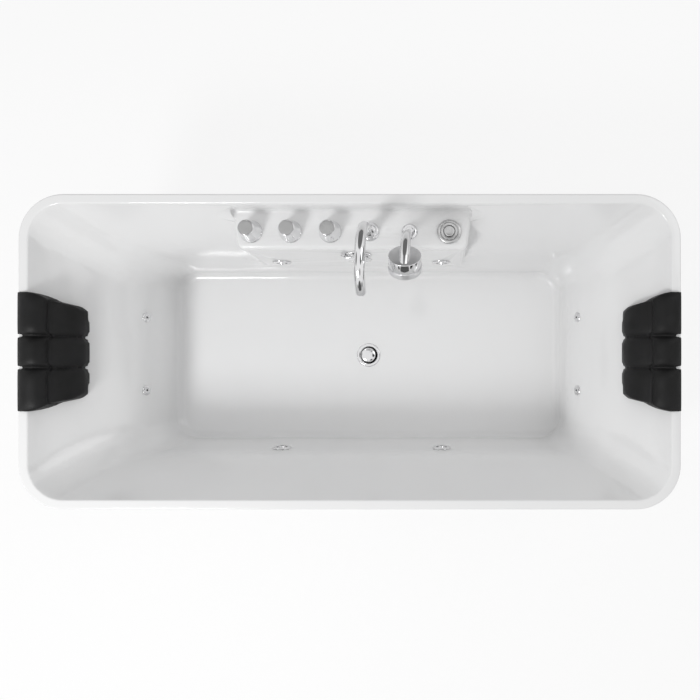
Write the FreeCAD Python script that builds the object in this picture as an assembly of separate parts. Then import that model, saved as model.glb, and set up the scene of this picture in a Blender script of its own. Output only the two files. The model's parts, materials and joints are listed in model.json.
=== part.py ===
import FreeCAD, Part
import math
import os

# Jetted bathtub, millimetres, +Z up.
# Origin: floor level, under the middle of the tub. X runs along the tub, +Y is the side with the taps.

V = FreeCAD.Vector
UP = V(0, 0, 1)

# ---------------------------------------------------------------- driving sizes
LENGTH = 1700.0
WIDTH = 810.0
RIM_Z = 580.0
CORNER_R = 115.0
RIM_W = 24.0
RIM_T = 6.0
LIP_H = 40.0
MOUTH_R = 6.0
WALL = 7.0
FLOOR_T = 6.0
WELL_DEPTH = 430.0
COVE_R = 25.0
SEAT_GAP = 0.3
RUN_FIT = 0.05
SLIP = 0.3

# The well: depth below the rim, then how far the wall stands in from the rim's inner edge at the
# ends and at the sides, and the corner's radius.
WELL_STEPS = (
    (0.0, 0.0, 0.0, 91.0),
    (60.0, 40.0, 35.0, 95.0),
    (120.0, 94.0, 69.0, 95.0),
    (180.0, 146.0, 92.0, 90.0),
    (250.0, 188.0, 102.0, 82.0),
    (340.0, 206.0, 111.0, 74.0),
    (WELL_DEPTH, 214.0, 114.0, 70.0),
)

# Tap deck, a shelf moulded into the back of the well
DECK_DROP = 50.0
DECK_FRONT_IN = 133.0
DECK_BACK_IN = 29.0
DECK_BACK_HALF = 317.0
DECK_FRONT_HALF = 303.0
DECK_CORNER_R = 18.0
DECK_EDGE_R = 11.0
DECK_COVE_R = 12.0
DECK_ROW_IN = 87.0
DECK_PITCH = 104.6
DECK_FIRST_X = -267.0
SHANK_R = 15.0
SHANK_HOLE_R = 16.0
NUT_GRIP = 15.0
NUT_H = 9.0
END_ROOM = 2.0

# Taps
ESCUTCHEON_R = 30.0
ESCUTCHEON_H = 5.0
KNOB_R = 28.5
KNOB_TOP_R = 20.0
KNOB_H = 46.0
SPINDLE_R = 5.0
SPINDLE_L = 30.0
VALVE_R = 20.0
VALVE_DROP = 70.0
VALVE_SHOULDER = 40.0
INLET_R = 10.5
INLET_L = 18.0
MIX_PIPE_R = 8.0
MIX_PIPE_DROP = 54.0

# Spout
SPOUT_R = 13.0
SPOUT_BORE_R = 10.5
SPOUT_LEAN = 5.0
SPOUT_RISE = 105.0
SPOUT_BEND_R = 90.0
SPOUT_SWEEP = 150.0
SPOUT_TURN = -2.0
SPOUT_BASE_R = 25.5
SPOUT_BASE_H = 8.0
SPOUT_NECK_R = 9.0
SPOUT_NECK_L = 24.0
SPOUT_COLLAR_H = 12.0
AERATOR_DEPTH = 9.0
AERATOR_HOLES = 8

# Hand shower
SOCKET_R = 21.0
SOCKET_H = 13.0
SOCKET_COLLAR_R = 14.5
HANDLE_LEAN = 17.0
HANDLE_TURN = -2.3
HANDLE_PEG_R = 6.5
HANDLE_PEG_L = 16.0
HANDLE_SHOULDER = 5.0
SOCKET_TAIL = 48.0
HANDLE_LOW_R = 10.0
HANDLE_TOP_R = 13.5
HANDLE_MIDDLE_R = 11.5
HANDLE_LENGTH = 98.0
HANDLE_BEND_R = 88.0
HANDLE_SWEEP = 80.0
HEAD_ANGLE = 138.0
HEAD_BACK = 8.0
HEAD_ROOT = 24.0
HEAD_R = 39.5
HEAD_RING_R = 41.0
HEAD_RING_L = 17.0
HEAD_L = 44.0
FACE_R = 36.0
FACE_T = 4.0
NUB_RINGS = ((6, 10.0), (12, 19.5), (16, 29.0))

# Air control on the deck
CONTROL_R = 32.0
CONTROL_RING_R = 23.2
CONTROL_BUTTON_R = 14.0
CONTROL_BODY_R = 21.0
CONTROL_DROP = 68.0
CONTROL_TAIL_L = 12.0
CONTROL_PLATE_T = 1.0
BUTTON_TRAVEL = 3.0
BUTTON_STEM_L = 21.0
BUTTON_ROOM = 0.5
BUTTON_GAP = 1.0
RING_SCALLOPS = 12

# Waste, plug and overflow
DRAIN_R = 38.0
DRAIN_SHANK_R = 24.0
DRAIN_BORE_R = 20.5
DRAIN_SHANK_L = 48.0
DRAIN_NUT_H = 10.0
GASKET_T = 4.0
PLUG_R = 23.0
PLUG_LIFT = 8.0
PLUG_STEM_R = 4.0
PLUG_SEAT_H = 2.4
PLUG_SEAL_T = 2.0
GUIDE_DROP = 86.0
GUIDE_H = 16.0
GUIDE_WALL = 3.0
WASTE_R = 20.0
WASTE_BORE_R = 17.0
WASTE_END_Z = 30.0
WASTE_TAIL = 40.0
OVERFLOW_DEPTH = 120.0
OVERFLOW_R = 42.0
OVERFLOW_KNOB_R = 31.0
OVERFLOW_HOLE_R = 26.0
OVERFLOW_PIPE_R = 16.0
OVERFLOW_PIPE_X = -78.0
OVERFLOW_SLANT = 32.0
OVERFLOW_PIPE_Z = 92.0
OVERFLOW_PIPE_BACK = 32.0
OVERFLOW_CUP_L = 44.0
OVERFLOW_SLOTS = 10
SUCTION_DEPTH = 205.0
SUCTION_R = 34.0
SUCTION_HOLE_R = 24.0
SUCTION_PIPE_R = 18.0
SUCTION_PIPE_BACK = 38.0
SUCTION_PIPE_BEND = 40.0
SUCTION_CUP_L = 58.0
SUCTION_HOLE_RINGS = ((1, 0.0), (6, 7.0), (12, 14.0), (18, 21.0))
CUP_WALL = 3.0

# Jets
JET_DEPTH = 250.0
JET_X = 236.0
JET_R = 27.0
JET_HOLE_R = 21.0
JET_SLEEVE_R = 17.4
JET_BALL_R = 15.5
JET_BALL_BACK = 6.0
JET_REACH = 46.0
JET_LEG_R = 12.0
JET_TAIL = 16.0
JET_SLEEVE_L = 18.0
MICRO_Y = 108.0
MICRO_R = 14.5
MICRO_HOLE_R = 9.0
MICRO_REACH = 38.0
MICRO_LEG_R = 8.0
MICRO_TAIL = 11.0
MICRO_SLEEVE_L = 16.0
LEG_DROP = 20.0
WATER_PIPE_R = 16.0
WATER_PIPE_Z = 255.0
AIR_PIPE_R = 9.0
AIR_PIPE_Z = 313.0
AIR_PIPE_OUT = 34.0
AIR_STUB_L = 8.0
AIR_RISER_DROP = 70.0
AIR_RISER_BEND = 14.0
LOOP_BEND_R = 60.0
PIPE_WALL = 2.5

# Pump
PUMP_Z = 150.0
VOLUTE_R = 56.0
VOLUTE_W = 50.0
VOLUTE_Y = 118.0
PUMP_OUTLET_OFF = 30.0
PUMP_OUTLET_R = 20.0
PUMP_OUTLET_H = 22.0
PUMP_INLET_R = 26.0
PUMP_INLET_L = 16.0
CASE_WALL = 5.0
UNION_WALL = 7.0
UNION_L = 18.0
MOTOR_R = 58.0
MOTOR_L = 190.0
MOTOR_FINS = 24
FIN_H = 8.0
MOTOR_CAP_L = 28.0
CAP_SLOTS = 12
FAN_BLADES = 7
PUMP_SHAFT_R = 7.0
IMPELLER_R = 44.0
IMPELLER_BLADES = 6
IMPELLER_Y = 7.0
BLADE_W = 15.0
BLADE_T = 2.5
SADDLE_HALF = 50.0
SADDLE_NECK = 34.0
BEARER_T = 3.0
BOX_HALF_Y = 70.0
BOX_W = 75.0
BOX_H = 90.0
BOX_GLAND_R = 9.0

# Carcass under the tub
APRON_T = 5.0
APRON_TOP_Z = RIM_Z - RIM_T
APRON_FOOT_Z = 12.0
APRON_TAPER = 26.0
APRON_LIP_GAP = 1.5
BOARD_T = 15.0
BOARD_IN_X = 52.0
BOARD_IN_Y = 42.0
RAIL = 30.0
RAIL_WALL = 2.5
RAIL_Z = 40.0
RAIL_IN_X = 80.0
RAIL_IN_Y = 105.0
CROSS_MIDDLE_X = 180.0
CROSS_IN = 30.0
POST_IN = 25.0
FOOT_IN = 200.0
FOOT_PAD_R = 26.0
FOOT_PAD_H = 12.0
FOOT_ROD_R = 6.0
FOOT_ROD_SEAT = 5.0
FOOT_ROD_TOP = 22.0
FOOT_NUT_W = 19.0
FOOT_NUT_H = 10.0
PANEL_HALF_Y = 170.0
PANEL_LOW_Z = 76.0
PANEL_HIGH_Z = 326.0
PANEL_GAP = 2.0
CATCH_IN = 60.0
CATCH_HALF_Y = 12.0
CATCH_HALF_Z = 22.0
CATCH_T = 8.0
BRACKET_X = 330.0
BRACKET_HALF = 20.0
BRACKET_T = 3.0

# Headrests
REST_HALF = 153.0
REST_MIDDLE_HALF = 37.5
REST_SLOT = 7.0
REST_SHOULDER_IN = 32.0
REST_CREASE_IN = 74.0
REST_CREASE_HALF = 134.0
REST_CREASE_DROP = 16.0
REST_INNER_IN = 119.0
REST_TIP_HALF = 125.0
REST_TIP_IN = 106.0
REST_NOSE_HALF = 82.0
REST_NOSE_ROOM = 2.0
REST_NECK_BULGE = (2.0, 3.0)
REST_NOSE_BULGE = (4.0, 7.0)
REST_INNER_DROP = 94.0
REST_RISE = 18.0
REST_CROWN = 9.0
REST_ROOT = 190.0
REST_WEBS_IN = ((102.0, 112.0), (78.0, 93.0), (38.0, 66.0))

# ---------------------------------------------------------------- worked-out sizes
HALF_L = LENGTH / 2
HALF_W = WIDTH / 2
WELL_L = HALF_L - RIM_W
WELL_W = HALF_W - RIM_W
DECK_Z = RIM_Z - DECK_DROP
DECK_FRONT_Y = HALF_W - DECK_FRONT_IN
DECK_BACK_Y = HALF_W - DECK_BACK_IN
DECK_ROW_Y = HALF_W - DECK_ROW_IN
FLOOR_Z = RIM_Z - WELL_DEPTH
DECK_FOOT_Z = FLOOR_Z + 2 * COVE_R
UNDER_Z = FLOOR_Z - FLOOR_T
BOARD_Z = UNDER_Z - BOARD_T
BOARD_HALF_X = WELL_L - WELL_STEPS[-1][1] - BOARD_IN_X
BOARD_HALF_Y = WELL_W - WELL_STEPS[-1][2] - BOARD_IN_Y
RAIL_TOP = RAIL_Z + RAIL
RAIL_HALF_X = HALF_L - RAIL_IN_X
RAIL_HALF_Y = HALF_W - RAIL_IN_Y
CROSS_X = (CROSS_MIDDLE_X, BOARD_HALF_X - CROSS_IN, RAIL_HALF_X)
POST_Y = BOARD_HALF_Y - POST_IN
FOOT_X = (-HALF_L + FOOT_IN, 0.0, HALF_L - FOOT_IN)
JET_Z = RIM_Z - JET_DEPTH
REST_CREASE_X = HALF_L - REST_CREASE_IN
REST_REACH = REST_INNER_IN - REST_CREASE_IN
DECK_X = [DECK_FIRST_X + DECK_PITCH * i for i in range(6)]
HOT_X, COLD_X, DIVERTER_X, SPOUT_X, SHOWER_X, CONTROL_X = DECK_X


# ---------------------------------------------------------------- shape helpers
def turned(profile):
    """A solid of revolution about Z from (radius, z) corners."""
    corners = [V(r, 0, z) for r, z in profile]
    wire = Part.makePolygon(corners + corners[:1])
    return Part.Face(wire).revolve(V(0, 0, 0), UP, 360)


def ring(inner, outer, low, high):
    return turned([(inner, low), (outer, low), (outer, high), (inner, high)])


def disc(radius, low, high):
    return Part.makeCylinder(radius, high - low, V(0, 0, low))


def rod(start, end, radius):
    along = end - start
    return Part.makeCylinder(radius, along.Length, start, along)


def block(low, high):
    return Part.makeBox(high[0] - low[0], high[1] - low[1], high[2] - low[2], V(*low))


def hexagon(across, low, high, bore):
    radius = across / math.sqrt(3)
    corners = []
    for i in range(7):
        turn = math.radians(60 * i)
        corners.append(V(radius * math.cos(turn), radius * math.sin(turn), low))
    nut = Part.Face(Part.makePolygon(corners)).extrude(V(0, 0, high - low))
    return nut.cut(disc(bore, low - 1, high + 1))


def rounded_wire(half_x, half_y, radius, z):
    """A rounded rectangle as four lines and four arcs."""
    edges = []
    centres = ((1, 1), (-1, 1), (-1, -1), (1, -1))
    for quarter, (sx, sy) in enumerate(centres):
        middle = V(sx * (half_x - radius), sy * (half_y - radius), z)
        arc = Part.makeCircle(radius, middle, UP, 90 * quarter, 90 * quarter + 90)
        nx, ny = centres[(quarter + 1) % 4]
        step = V(nx * (half_x - radius), ny * (half_y - radius), z)
        turn = math.radians(90 * quarter + 90)
        out = V(math.cos(turn), math.sin(turn), 0) * radius
        edges.append(arc)
        edges.append(Part.makeLine(middle + out, step + out))
    return Part.Wire(edges)


def rounded_slab(half_x, half_y, radius, low, high):
    return Part.Face(rounded_wire(half_x, half_y, radius, low)).extrude(V(0, 0, high - low))


def placed(shape, origin, axis):
    """A copy whose local Z lies along axis and whose local origin is at origin."""
    copy = shape.copy()
    copy.Placement = FreeCAD.Placement(origin, FreeCAD.Rotation(UP, axis)).multiply(copy.Placement)
    return copy


def joined(shapes):
    whole = shapes[0]
    if len(shapes) > 1:
        whole = whole.multiFuse(shapes[1:])
    return whole.removeSplitter()


def bent_path(points, radius):
    """Straight runs joined by tangent arcs, as one wire."""
    edges = []
    start = points[0]
    for i in range(1, len(points) - 1):
        corner = points[i]
        back = (points[i - 1] - corner).normalize()
        ahead = (points[i + 1] - corner).normalize()
        half_turn = back.getAngle(ahead) / 2
        trim = radius / math.tan(half_turn)
        enter = corner + back * trim
        leave = corner + ahead * trim
        middle = corner + (back + ahead).normalize() * (radius / math.sin(half_turn) - radius)
        edges.append(Part.makeLine(start, enter))
        edges.append(Part.Arc(enter, middle, leave).toShape())
        start = leave
    edges.append(Part.makeLine(start, points[-1]))
    return Part.Wire(edges)


def swept(path, radius):
    first = path.Edges[0]
    start = first.valueAt(first.FirstParameter)
    along = first.tangentAt(first.FirstParameter)
    circle = Part.Wire([Part.makeCircle(radius, start, along)])
    return path.makePipeShell([circle], True, False)


def pipe(points, bend, radius, wall):
    path = bent_path(points, bend)
    return swept(path, radius).cut(swept(path, radius - wall))


def mirrored_x(shape):
    return shape.mirror(V(0, 0, 0), V(1, 0, 0))


def round_holes(rings, radius, low, high):
    """Round holes along Z in rings, as one compound; rings holds (count, radius of the ring)."""
    holes = []
    for count, ring_r in rings:
        for i in range(count):
            turn = 2 * math.pi * i / count
            spot = V(ring_r * math.cos(turn), ring_r * math.sin(turn), low)
            holes.append(Part.makeCylinder(radius, high - low, spot))
    return Part.makeCompound(holes)


def spun(shape, count, first):
    """Copies of a shape round Z, the first one turned by first degrees."""
    copies = []
    for i in range(count):
        copy = shape.copy()
        copy.rotate(V(0, 0, 0), UP, 360 / count * i + first)
        copies.append(copy)
    return copies


# ---------------------------------------------------------------- tub
def well(grow, drop):
    """The hollow of the tub, its walls moved out by grow and its floor down by drop."""
    wires = []
    for depth, in_x, in_y, radius in WELL_STEPS:
        z = RIM_Z - depth
        if depth == WELL_DEPTH:
            z -= drop
        wires.append(rounded_wire(WELL_L - in_x + grow, WELL_W - in_y + grow, radius + grow, z))
    hollow = Part.makeLoft(wires, True, False)
    low = hollow.BoundBox.ZMin
    cove = [e for e in hollow.Edges if abs(e.BoundBox.ZMax - low) < 0.01]
    return hollow.makeFillet(COVE_R + grow, cove)


def deck_prism(grow, back, low, high, edge_radius):
    """A prism on the deck's plan, with its two front corners rounded."""
    front = DECK_FRONT_Y - grow
    slope = (DECK_BACK_HALF - DECK_FRONT_HALF) / (DECK_BACK_Y - DECK_FRONT_Y)
    half_front = DECK_FRONT_HALF + grow - slope * grow
    half_back = half_front + slope * (back - front)
    corners = [
        V(-half_back, back, low),
        V(-half_front, front, low),
        V(half_front, front, low),
        V(half_back, back, low),
    ]
    plan = Part.Face(Part.makePolygon(corners + corners[:1]))
    prism = plan.extrude(V(0, 0, high - low))
    posts = []
    for edge in prism.Edges:
        box = edge.BoundBox
        if box.ZLength > 1 and box.YMax < front + 1:
            posts.append(edge)
    prism = prism.makeFillet(DECK_CORNER_R + grow, posts)
    if edge_radius > 0:
        top = []
        for edge in prism.Edges:
            box = edge.BoundBox
            if box.ZMin > high - 0.01 and box.YMin < back - 0.01:
                top.append(edge)
        prism = prism.makeFillet(edge_radius, top)
    return prism


def deck_recess():
    """The room over the deck, with its back corners rounded and coved down to the deck."""
    room = deck_prism(0, DECK_BACK_Y, DECK_Z, RIM_Z, 0)
    posts = []
    for edge in room.Edges:
        box = edge.BoundBox
        if box.ZLength > 1 and box.YMin > DECK_BACK_Y - 1:
            posts.append(edge)
    room = room.makeFillet(DECK_COVE_R, posts)
    foot = []
    for edge in room.Edges:
        box = edge.BoundBox
        if box.ZMax < DECK_Z + 0.01 and box.YMax > DECK_FRONT_Y + DECK_CORNER_R + 1:
            foot.append(edge)
    return room.makeFillet(DECK_COVE_R - 1, foot)


def basin_hollow():
    hollow = well(0, 0)
    hollow = hollow.cut(deck_prism(0, DECK_BACK_Y, DECK_FOOT_Z, DECK_Z, DECK_EDGE_R))
    return hollow.fuse(deck_recess())


def basin_shell(hollow):
    skin = well(WALL, FLOOR_T)
    skin = skin.cut(deck_prism(-WALL, HALF_W, DECK_FOOT_Z, DECK_Z - FLOOR_T, DECK_EDGE_R))
    pocket = deck_prism(WALL, DECK_BACK_Y + WALL, DECK_Z - FLOOR_T, RIM_Z - RIM_T, 0)
    rim = rounded_slab(HALF_L, HALF_W, CORNER_R, RIM_Z - LIP_H, RIM_Z)
    lip_room = rounded_slab(
        HALF_L - RIM_T, HALF_W - RIM_T, CORNER_R - RIM_T, RIM_Z - LIP_H, RIM_Z - RIM_T
    )
    rim = rim.cut(lip_room)
    outer = [e for e in rim.Edges if e.BoundBox.ZMin > RIM_Z - 0.01]
    rim = rim.makeFillet(RIM_T - 1, outer)
    shell = rim.multiFuse([skin, pocket]).cut(hollow).removeSplitter()
    mouth = []
    for edge in shell.Edges:
        box = edge.BoundBox
        in_x = max(-box.XMin, box.XMax) < WELL_L + 1
        in_y = max(-box.YMin, box.YMax) < WELL_W + 1
        if box.ZMin > RIM_Z - 0.01 and in_x and in_y:
            mouth.append(edge)
    return shell.makeFillet(MOUTH_R, mouth)


def apron_solid(inset):
    """The skirt's full body, its faces moved in by inset."""
    top_x = HALF_L - RIM_T - APRON_LIP_GAP - inset
    top_y = HALF_W - RIM_T - APRON_LIP_GAP - inset
    radius = CORNER_R - RIM_T - APRON_LIP_GAP - inset
    top = rounded_wire(top_x, top_y, radius, APRON_TOP_Z)
    foot_radius = radius - APRON_TAPER / 2
    foot = rounded_wire(top_x - APRON_TAPER, top_y - APRON_TAPER, foot_radius, APRON_FOOT_Z)
    return Part.makeLoft([foot, top], True, True)


def panel_window(gap):
    """A block through the skirt at the pump's end, its edges moved in by gap."""
    low = (BOARD_HALF_X, -PANEL_HALF_Y + gap, PANEL_LOW_Z + gap)
    high = (HALF_L, PANEL_HALF_Y - gap, PANEL_HIGH_Z - gap)
    return block(low, high)


def apron_wall():
    return apron_solid(0).cut(apron_solid(APRON_T))


def panel_catches():
    """Four catches bridging the panel's gap from inside."""
    liner = apron_solid(APRON_T + SEAT_GAP).cut(apron_solid(APRON_T + CATCH_T))
    catches = []
    for y in (-PANEL_HALF_Y, PANEL_HALF_Y):
        for z in (PANEL_LOW_Z + CATCH_IN, PANEL_HIGH_Z - CATCH_IN):
            low = (BOARD_HALF_X, y - CATCH_HALF_Y, z - CATCH_HALF_Z)
            high = (HALF_L, y + CATCH_HALF_Y, z + CATCH_HALF_Z)
            catches.append(block(low, high))
    return liner.common(Part.makeCompound(catches))


# ---------------------------------------------------------------- places on the wall
class Seat:
    """A place on the wet face: its point, and the axis that points into the well."""

    def __init__(self, hollow, probe):
        point = Part.Vertex(probe)
        best = None
        for face in hollow.Faces:
            gap, pairs, _ = point.distToShape(face)
            if best is None or gap < best[0]:
                best = (gap, face, pairs[0][1])
        _, face, self.at = best
        u, v = face.Surface.parameter(self.at)
        self.axis = face.normalAt(u, v) * -1

    def put(self, shape):
        return placed(shape, self.at, self.axis)

    def behind(self, distance):
        return self.at - self.axis * distance

    def hole(self, radius):
        return rod(self.behind(4 * WALL), self.behind(-2 * WALL), radius)


class DeckSeat:
    """A place on the level deck."""

    def __init__(self, x):
        self.at = V(x, DECK_ROW_Y, DECK_Z)

    def put(self, shape):
        return placed(shape, self.at, UP)

    def hole(self, radius):
        return self.put(disc(radius, -4 * WALL, 2 * WALL))


# ---------------------------------------------------------------- carcass
def floor_board():
    slab = rounded_slab(BOARD_HALF_X, BOARD_HALF_Y, 2 * RAIL, BOARD_Z, UNDER_Z)
    return slab.cut(disc(2 * DRAIN_SHANK_R, BOARD_Z - 1, UNDER_Z + 1))


def foot_places():
    places = []
    for y in (-RAIL_HALF_Y, RAIL_HALF_Y):
        for x in FOOT_X:
            places.append(V(x, y, 0))
    return places


def box_rail(low, high, along):
    """A square tube with open ends."""
    outer = block(low, high)
    inner_low = [c + RAIL_WALL for c in low]
    inner_high = [c - RAIL_WALL for c in high]
    inner_low[along] = low[along] - 1
    inner_high[along] = high[along] + 1
    return outer.cut(block(inner_low, inner_high))


def base_frame():
    """Square tubes and posts, each butted against the next."""
    h = RAIL / 2
    hole = disc(FOOT_ROD_R + SLIP, RAIL_Z - 1, RAIL_TOP + 1)
    holes = Part.makeCompound([placed(hole, place, UP) for place in foot_places()])
    pieces = []
    for y in (-RAIL_HALF_Y, RAIL_HALF_Y):
        ends = RAIL_HALF_X + h
        rail = box_rail((-ends, y - h, RAIL_Z), (ends, y + h, RAIL_TOP), 0)
        pieces.append(rail.cut(holes))
    reach = RAIL_HALF_Y - h
    for offset in CROSS_X:
        for x in (-offset, offset):
            pieces.append(box_rail((x - h, -reach, RAIL_Z), (x + h, reach, RAIL_TOP), 1))
    for offset in CROSS_X[:2]:
        for x in (-offset, offset):
            for y in (-POST_Y, POST_Y):
                pieces.append(block((x - h, y - h, RAIL_TOP), (x + h, y + h, BOARD_Z)))
    return pieces


def foot_parts():
    pad = turned(
        [
            (0, 0),
            (FOOT_PAD_R, 0),
            (FOOT_PAD_R, FOOT_PAD_H / 3),
            (FOOT_PAD_R - 6, FOOT_PAD_H - 3),
            (2 * FOOT_ROD_R, FOOT_PAD_H),
            (0, FOOT_PAD_H),
        ]
    )
    pad = pad.cut(disc(FOOT_ROD_R + RUN_FIT, FOOT_ROD_SEAT, FOOT_PAD_H + 1))
    screw = disc(FOOT_ROD_R, FOOT_ROD_SEAT, RAIL_TOP + FOOT_ROD_TOP)
    nut = hexagon(FOOT_NUT_W, 0, FOOT_NUT_H, FOOT_ROD_R + RUN_FIT)
    pads, screws, nuts = [], [], []
    for place in foot_places():
        pads.append(placed(pad, place, UP))
        screws.append(placed(screw, place, UP))
        nuts.append(placed(nut, place + V(0, 0, RAIL_Z - FOOT_NUT_H), UP))
        nuts.append(placed(nut, place + V(0, 0, RAIL_TOP), UP))
    return pads, screws, nuts


def apron_brackets():
    """Angle brackets from the long rails out to the skirt."""
    room = apron_solid(APRON_T + SEAT_GAP)
    inside = apron_solid(APRON_T + BRACKET_T)
    near = RAIL_HALF_Y - RAIL / 2
    brackets = []
    for x in (-BRACKET_X, BRACKET_X):
        low = (x - BRACKET_HALF, near, RAIL_TOP)
        plate = block(low, (x + BRACKET_HALF, HALF_W, RAIL_TOP + BRACKET_T))
        tab = block(low, (x + BRACKET_HALF, HALF_W, RAIL_TOP + 2 * BRACKET_HALF)).cut(inside)
        bracket = plate.fuse(tab).common(room).removeSplitter()
        brackets.append(bracket)
        brackets.append(bracket.mirror(V(0, 0, 0), V(0, 1, 0)))
    return brackets


# ---------------------------------------------------------------- deck fittings
def lock_nut(radius, wall):
    """Back nut on a shank of this radius, against the dry face of a wall this thick."""
    return hexagon(2 * radius + NUT_GRIP, -wall - NUT_H, -wall, radius + RUN_FIT)


def escutcheon():
    return turned(
        [
            (SHANK_R + SLIP, 0),
            (ESCUTCHEON_R, 0),
            (ESCUTCHEON_R, 2),
            (ESCUTCHEON_R - 2, ESCUTCHEON_H),
            (SHANK_R + SLIP, ESCUTCHEON_H),
        ]
    )


def valve_body():
    top = ESCUTCHEON_H - 1
    body = turned(
        [
            (0, -VALVE_DROP),
            (VALVE_R - 2, -VALVE_DROP),
            (VALVE_R, -VALVE_DROP + 2),
            (VALVE_R, -VALVE_SHOULDER - 2),
            (VALVE_R - 2, -VALVE_SHOULDER),
            (SHANK_R, -VALVE_SHOULDER),
            (SHANK_R, top),
            (0, top),
        ]
    )
    inlet = disc(INLET_R, -VALVE_DROP - INLET_L, -VALVE_DROP)
    bore = disc(SPINDLE_R + RUN_FIT, -SPINDLE_L - END_ROOM, top + 1)
    return body.fuse(inlet).cut(bore).removeSplitter()


def knob():
    """A flared tap handle with a flat cap set in a fine groove, on its spindle."""
    low = ESCUTCHEON_H + 2 * SLIP
    high = low + KNOB_H
    body = turned(
        [
            (0, low),
            (KNOB_R - 1.5, low),
            (KNOB_R, low + 1.5),
            (KNOB_R, low + 5),
            (KNOB_R - 2.6, low + 13),
            (KNOB_R - 5.2, low + 25),
            (KNOB_R - 7.2, low + 37),
            (KNOB_TOP_R + 0.9, high - 3),
            (KNOB_TOP_R, high - 1),
            (KNOB_TOP_R - 1.2, high - 1.6),
            (KNOB_TOP_R - 1.8, high),
            (0, high),
        ]
    )
    return body.fuse(disc(SPINDLE_R, -SPINDLE_L, low)).removeSplitter()


def mixer_pipes():
    """Short pipes that join the valves to one another and to the spout's tail."""
    z = DECK_Z - MIX_PIPE_DROP
    y = DECK_ROW_Y + MIX_PIPE_R + 1
    pipes = []
    stations = [(HOT_X, VALVE_R), (COLD_X, VALVE_R), (DIVERTER_X, VALVE_R), (SPOUT_X, SHANK_R)]
    for (x0, r0), (x1, r1) in zip(stations, stations[1:]):
        run = rod(V(x0, y, z), V(x1, y, z), MIX_PIPE_R)
        run = run.cut(block((x0 - r0, 0, 0), (x0, HALF_W, RIM_Z)))
        run = run.cut(block((x1, 0, 0), (x1 + r1, HALF_W, RIM_Z)))
        run = run.cut(rod(V(x0, DECK_ROW_Y, DECK_Z), V(x0, DECK_ROW_Y, 0), r0 + RUN_FIT))
        run = run.cut(rod(V(x1, DECK_ROW_Y, DECK_Z), V(x1, DECK_ROW_Y, 0), r1 + RUN_FIT))
        pipes.append(run)
    return pipes


def spout_base():
    tail = MIX_PIPE_DROP + MIX_PIPE_R + 1
    body = turned(
        [
            (0, -tail),
            (SHANK_R, -tail),
            (SHANK_R, 0),
            (SPOUT_BASE_R, 0),
            (SPOUT_BASE_R, 2.5),
            (SPOUT_BASE_R - 4, SPOUT_BASE_H),
            (0, SPOUT_BASE_H),
        ]
    )
    return body.cut(disc(SPOUT_NECK_R + RUN_FIT, -SPOUT_NECK_L - END_ROOM, SPOUT_BASE_H + 1))


def spout_point(degrees):
    """A point on the spout's bend; its straight part ends at SPOUT_LEAN degrees."""
    lean = math.radians(SPOUT_LEAN)
    knee = V(0, -SPOUT_RISE * math.tan(lean), SPOUT_RISE)
    centre = knee - V(0, math.cos(lean), math.sin(lean)) * SPOUT_BEND_R
    turn = math.radians(degrees)
    return centre + V(0, math.cos(turn), math.sin(turn)) * SPOUT_BEND_R


def spout_tube(radius):
    foot_z = SPOUT_BASE_H + SPOUT_COLLAR_H / 2
    foot = V(0, -foot_z * math.tan(math.radians(SPOUT_LEAN)), foot_z)
    knee = spout_point(SPOUT_LEAN)
    middle = spout_point((SPOUT_LEAN + SPOUT_SWEEP) / 2)
    bend = Part.Arc(knee, middle, spout_point(SPOUT_SWEEP)).toShape()
    return swept(Part.Wire([Part.makeLine(foot, knee), bend]), radius)


def spout():
    low = SPOUT_BASE_H + 2 * SLIP
    collar = turned(
        [
            (0, low),
            (SPOUT_BASE_R - 6, low),
            (SPOUT_BASE_R - 6, low + 3),
            (SPOUT_R + 1.5, low + SPOUT_COLLAR_H),
            (0, low + SPOUT_COLLAR_H),
        ]
    )
    neck = disc(SPOUT_NECK_R, -SPOUT_NECK_L, low)
    solid = joined([spout_tube(SPOUT_R), collar, neck])
    solid = solid.cut(disc(SPOUT_NECK_R - PIPE_WALL, -SPOUT_NECK_L - 1, low + SPOUT_COLLAR_H))
    solid = solid.cut(spout_tube(SPOUT_BORE_R))
    solid.rotate(V(0, 0, 0), UP, SPOUT_TURN)
    return solid


def aerator():
    """A ring with a perforated disc, set in the spout's mouth."""
    turn = math.radians(SPOUT_SWEEP)
    inward = V(0, math.sin(turn), -math.cos(turn))
    insert = disc(SPOUT_BORE_R - 2 * SLIP, 1, AERATOR_DEPTH)
    insert = insert.cut(round_holes(((AERATOR_HOLES, 6.0),), 1.3, 0, AERATOR_DEPTH + 1))
    insert = placed(insert, spout_point(SPOUT_SWEEP), inward)
    insert.rotate(V(0, 0, 0), UP, SPOUT_TURN)
    return insert


def leaned(shape):
    """A copy in the deck's frame of a shape made upright in the handle's own frame."""
    copy = shape.copy()
    copy.rotate(V(0, 0, 0), V(1, 0, 0), HANDLE_LEAN)
    copy.rotate(V(0, 0, 0), UP, HANDLE_TURN)
    copy.translate(V(0, 0, SOCKET_H))
    return copy


def shower_socket():
    """A round deck socket whose bore leans with the handle."""
    body = turned(
        [
            (0, -SOCKET_TAIL),
            (SHANK_R, -SOCKET_TAIL),
            (SHANK_R, 0),
            (SOCKET_R, 0),
            (SOCKET_R, 2),
            (SOCKET_R - 3, 5),
            (SOCKET_COLLAR_R, 6.5),
            (SOCKET_COLLAR_R, 2 * SOCKET_H),
            (0, 2 * SOCKET_H),
        ]
    )
    top = leaned(disc(3 * SOCKET_R, 0, 3 * SOCKET_R))
    bore = leaned(disc(HANDLE_PEG_R + SLIP, -HANDLE_PEG_L - END_ROOM, 1))
    hose_way = disc(HANDLE_PEG_R - 1, -SOCKET_TAIL - 1, SOCKET_H - HANDLE_PEG_L)
    return body.cut(top).cut(bore).cut(hose_way)


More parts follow.
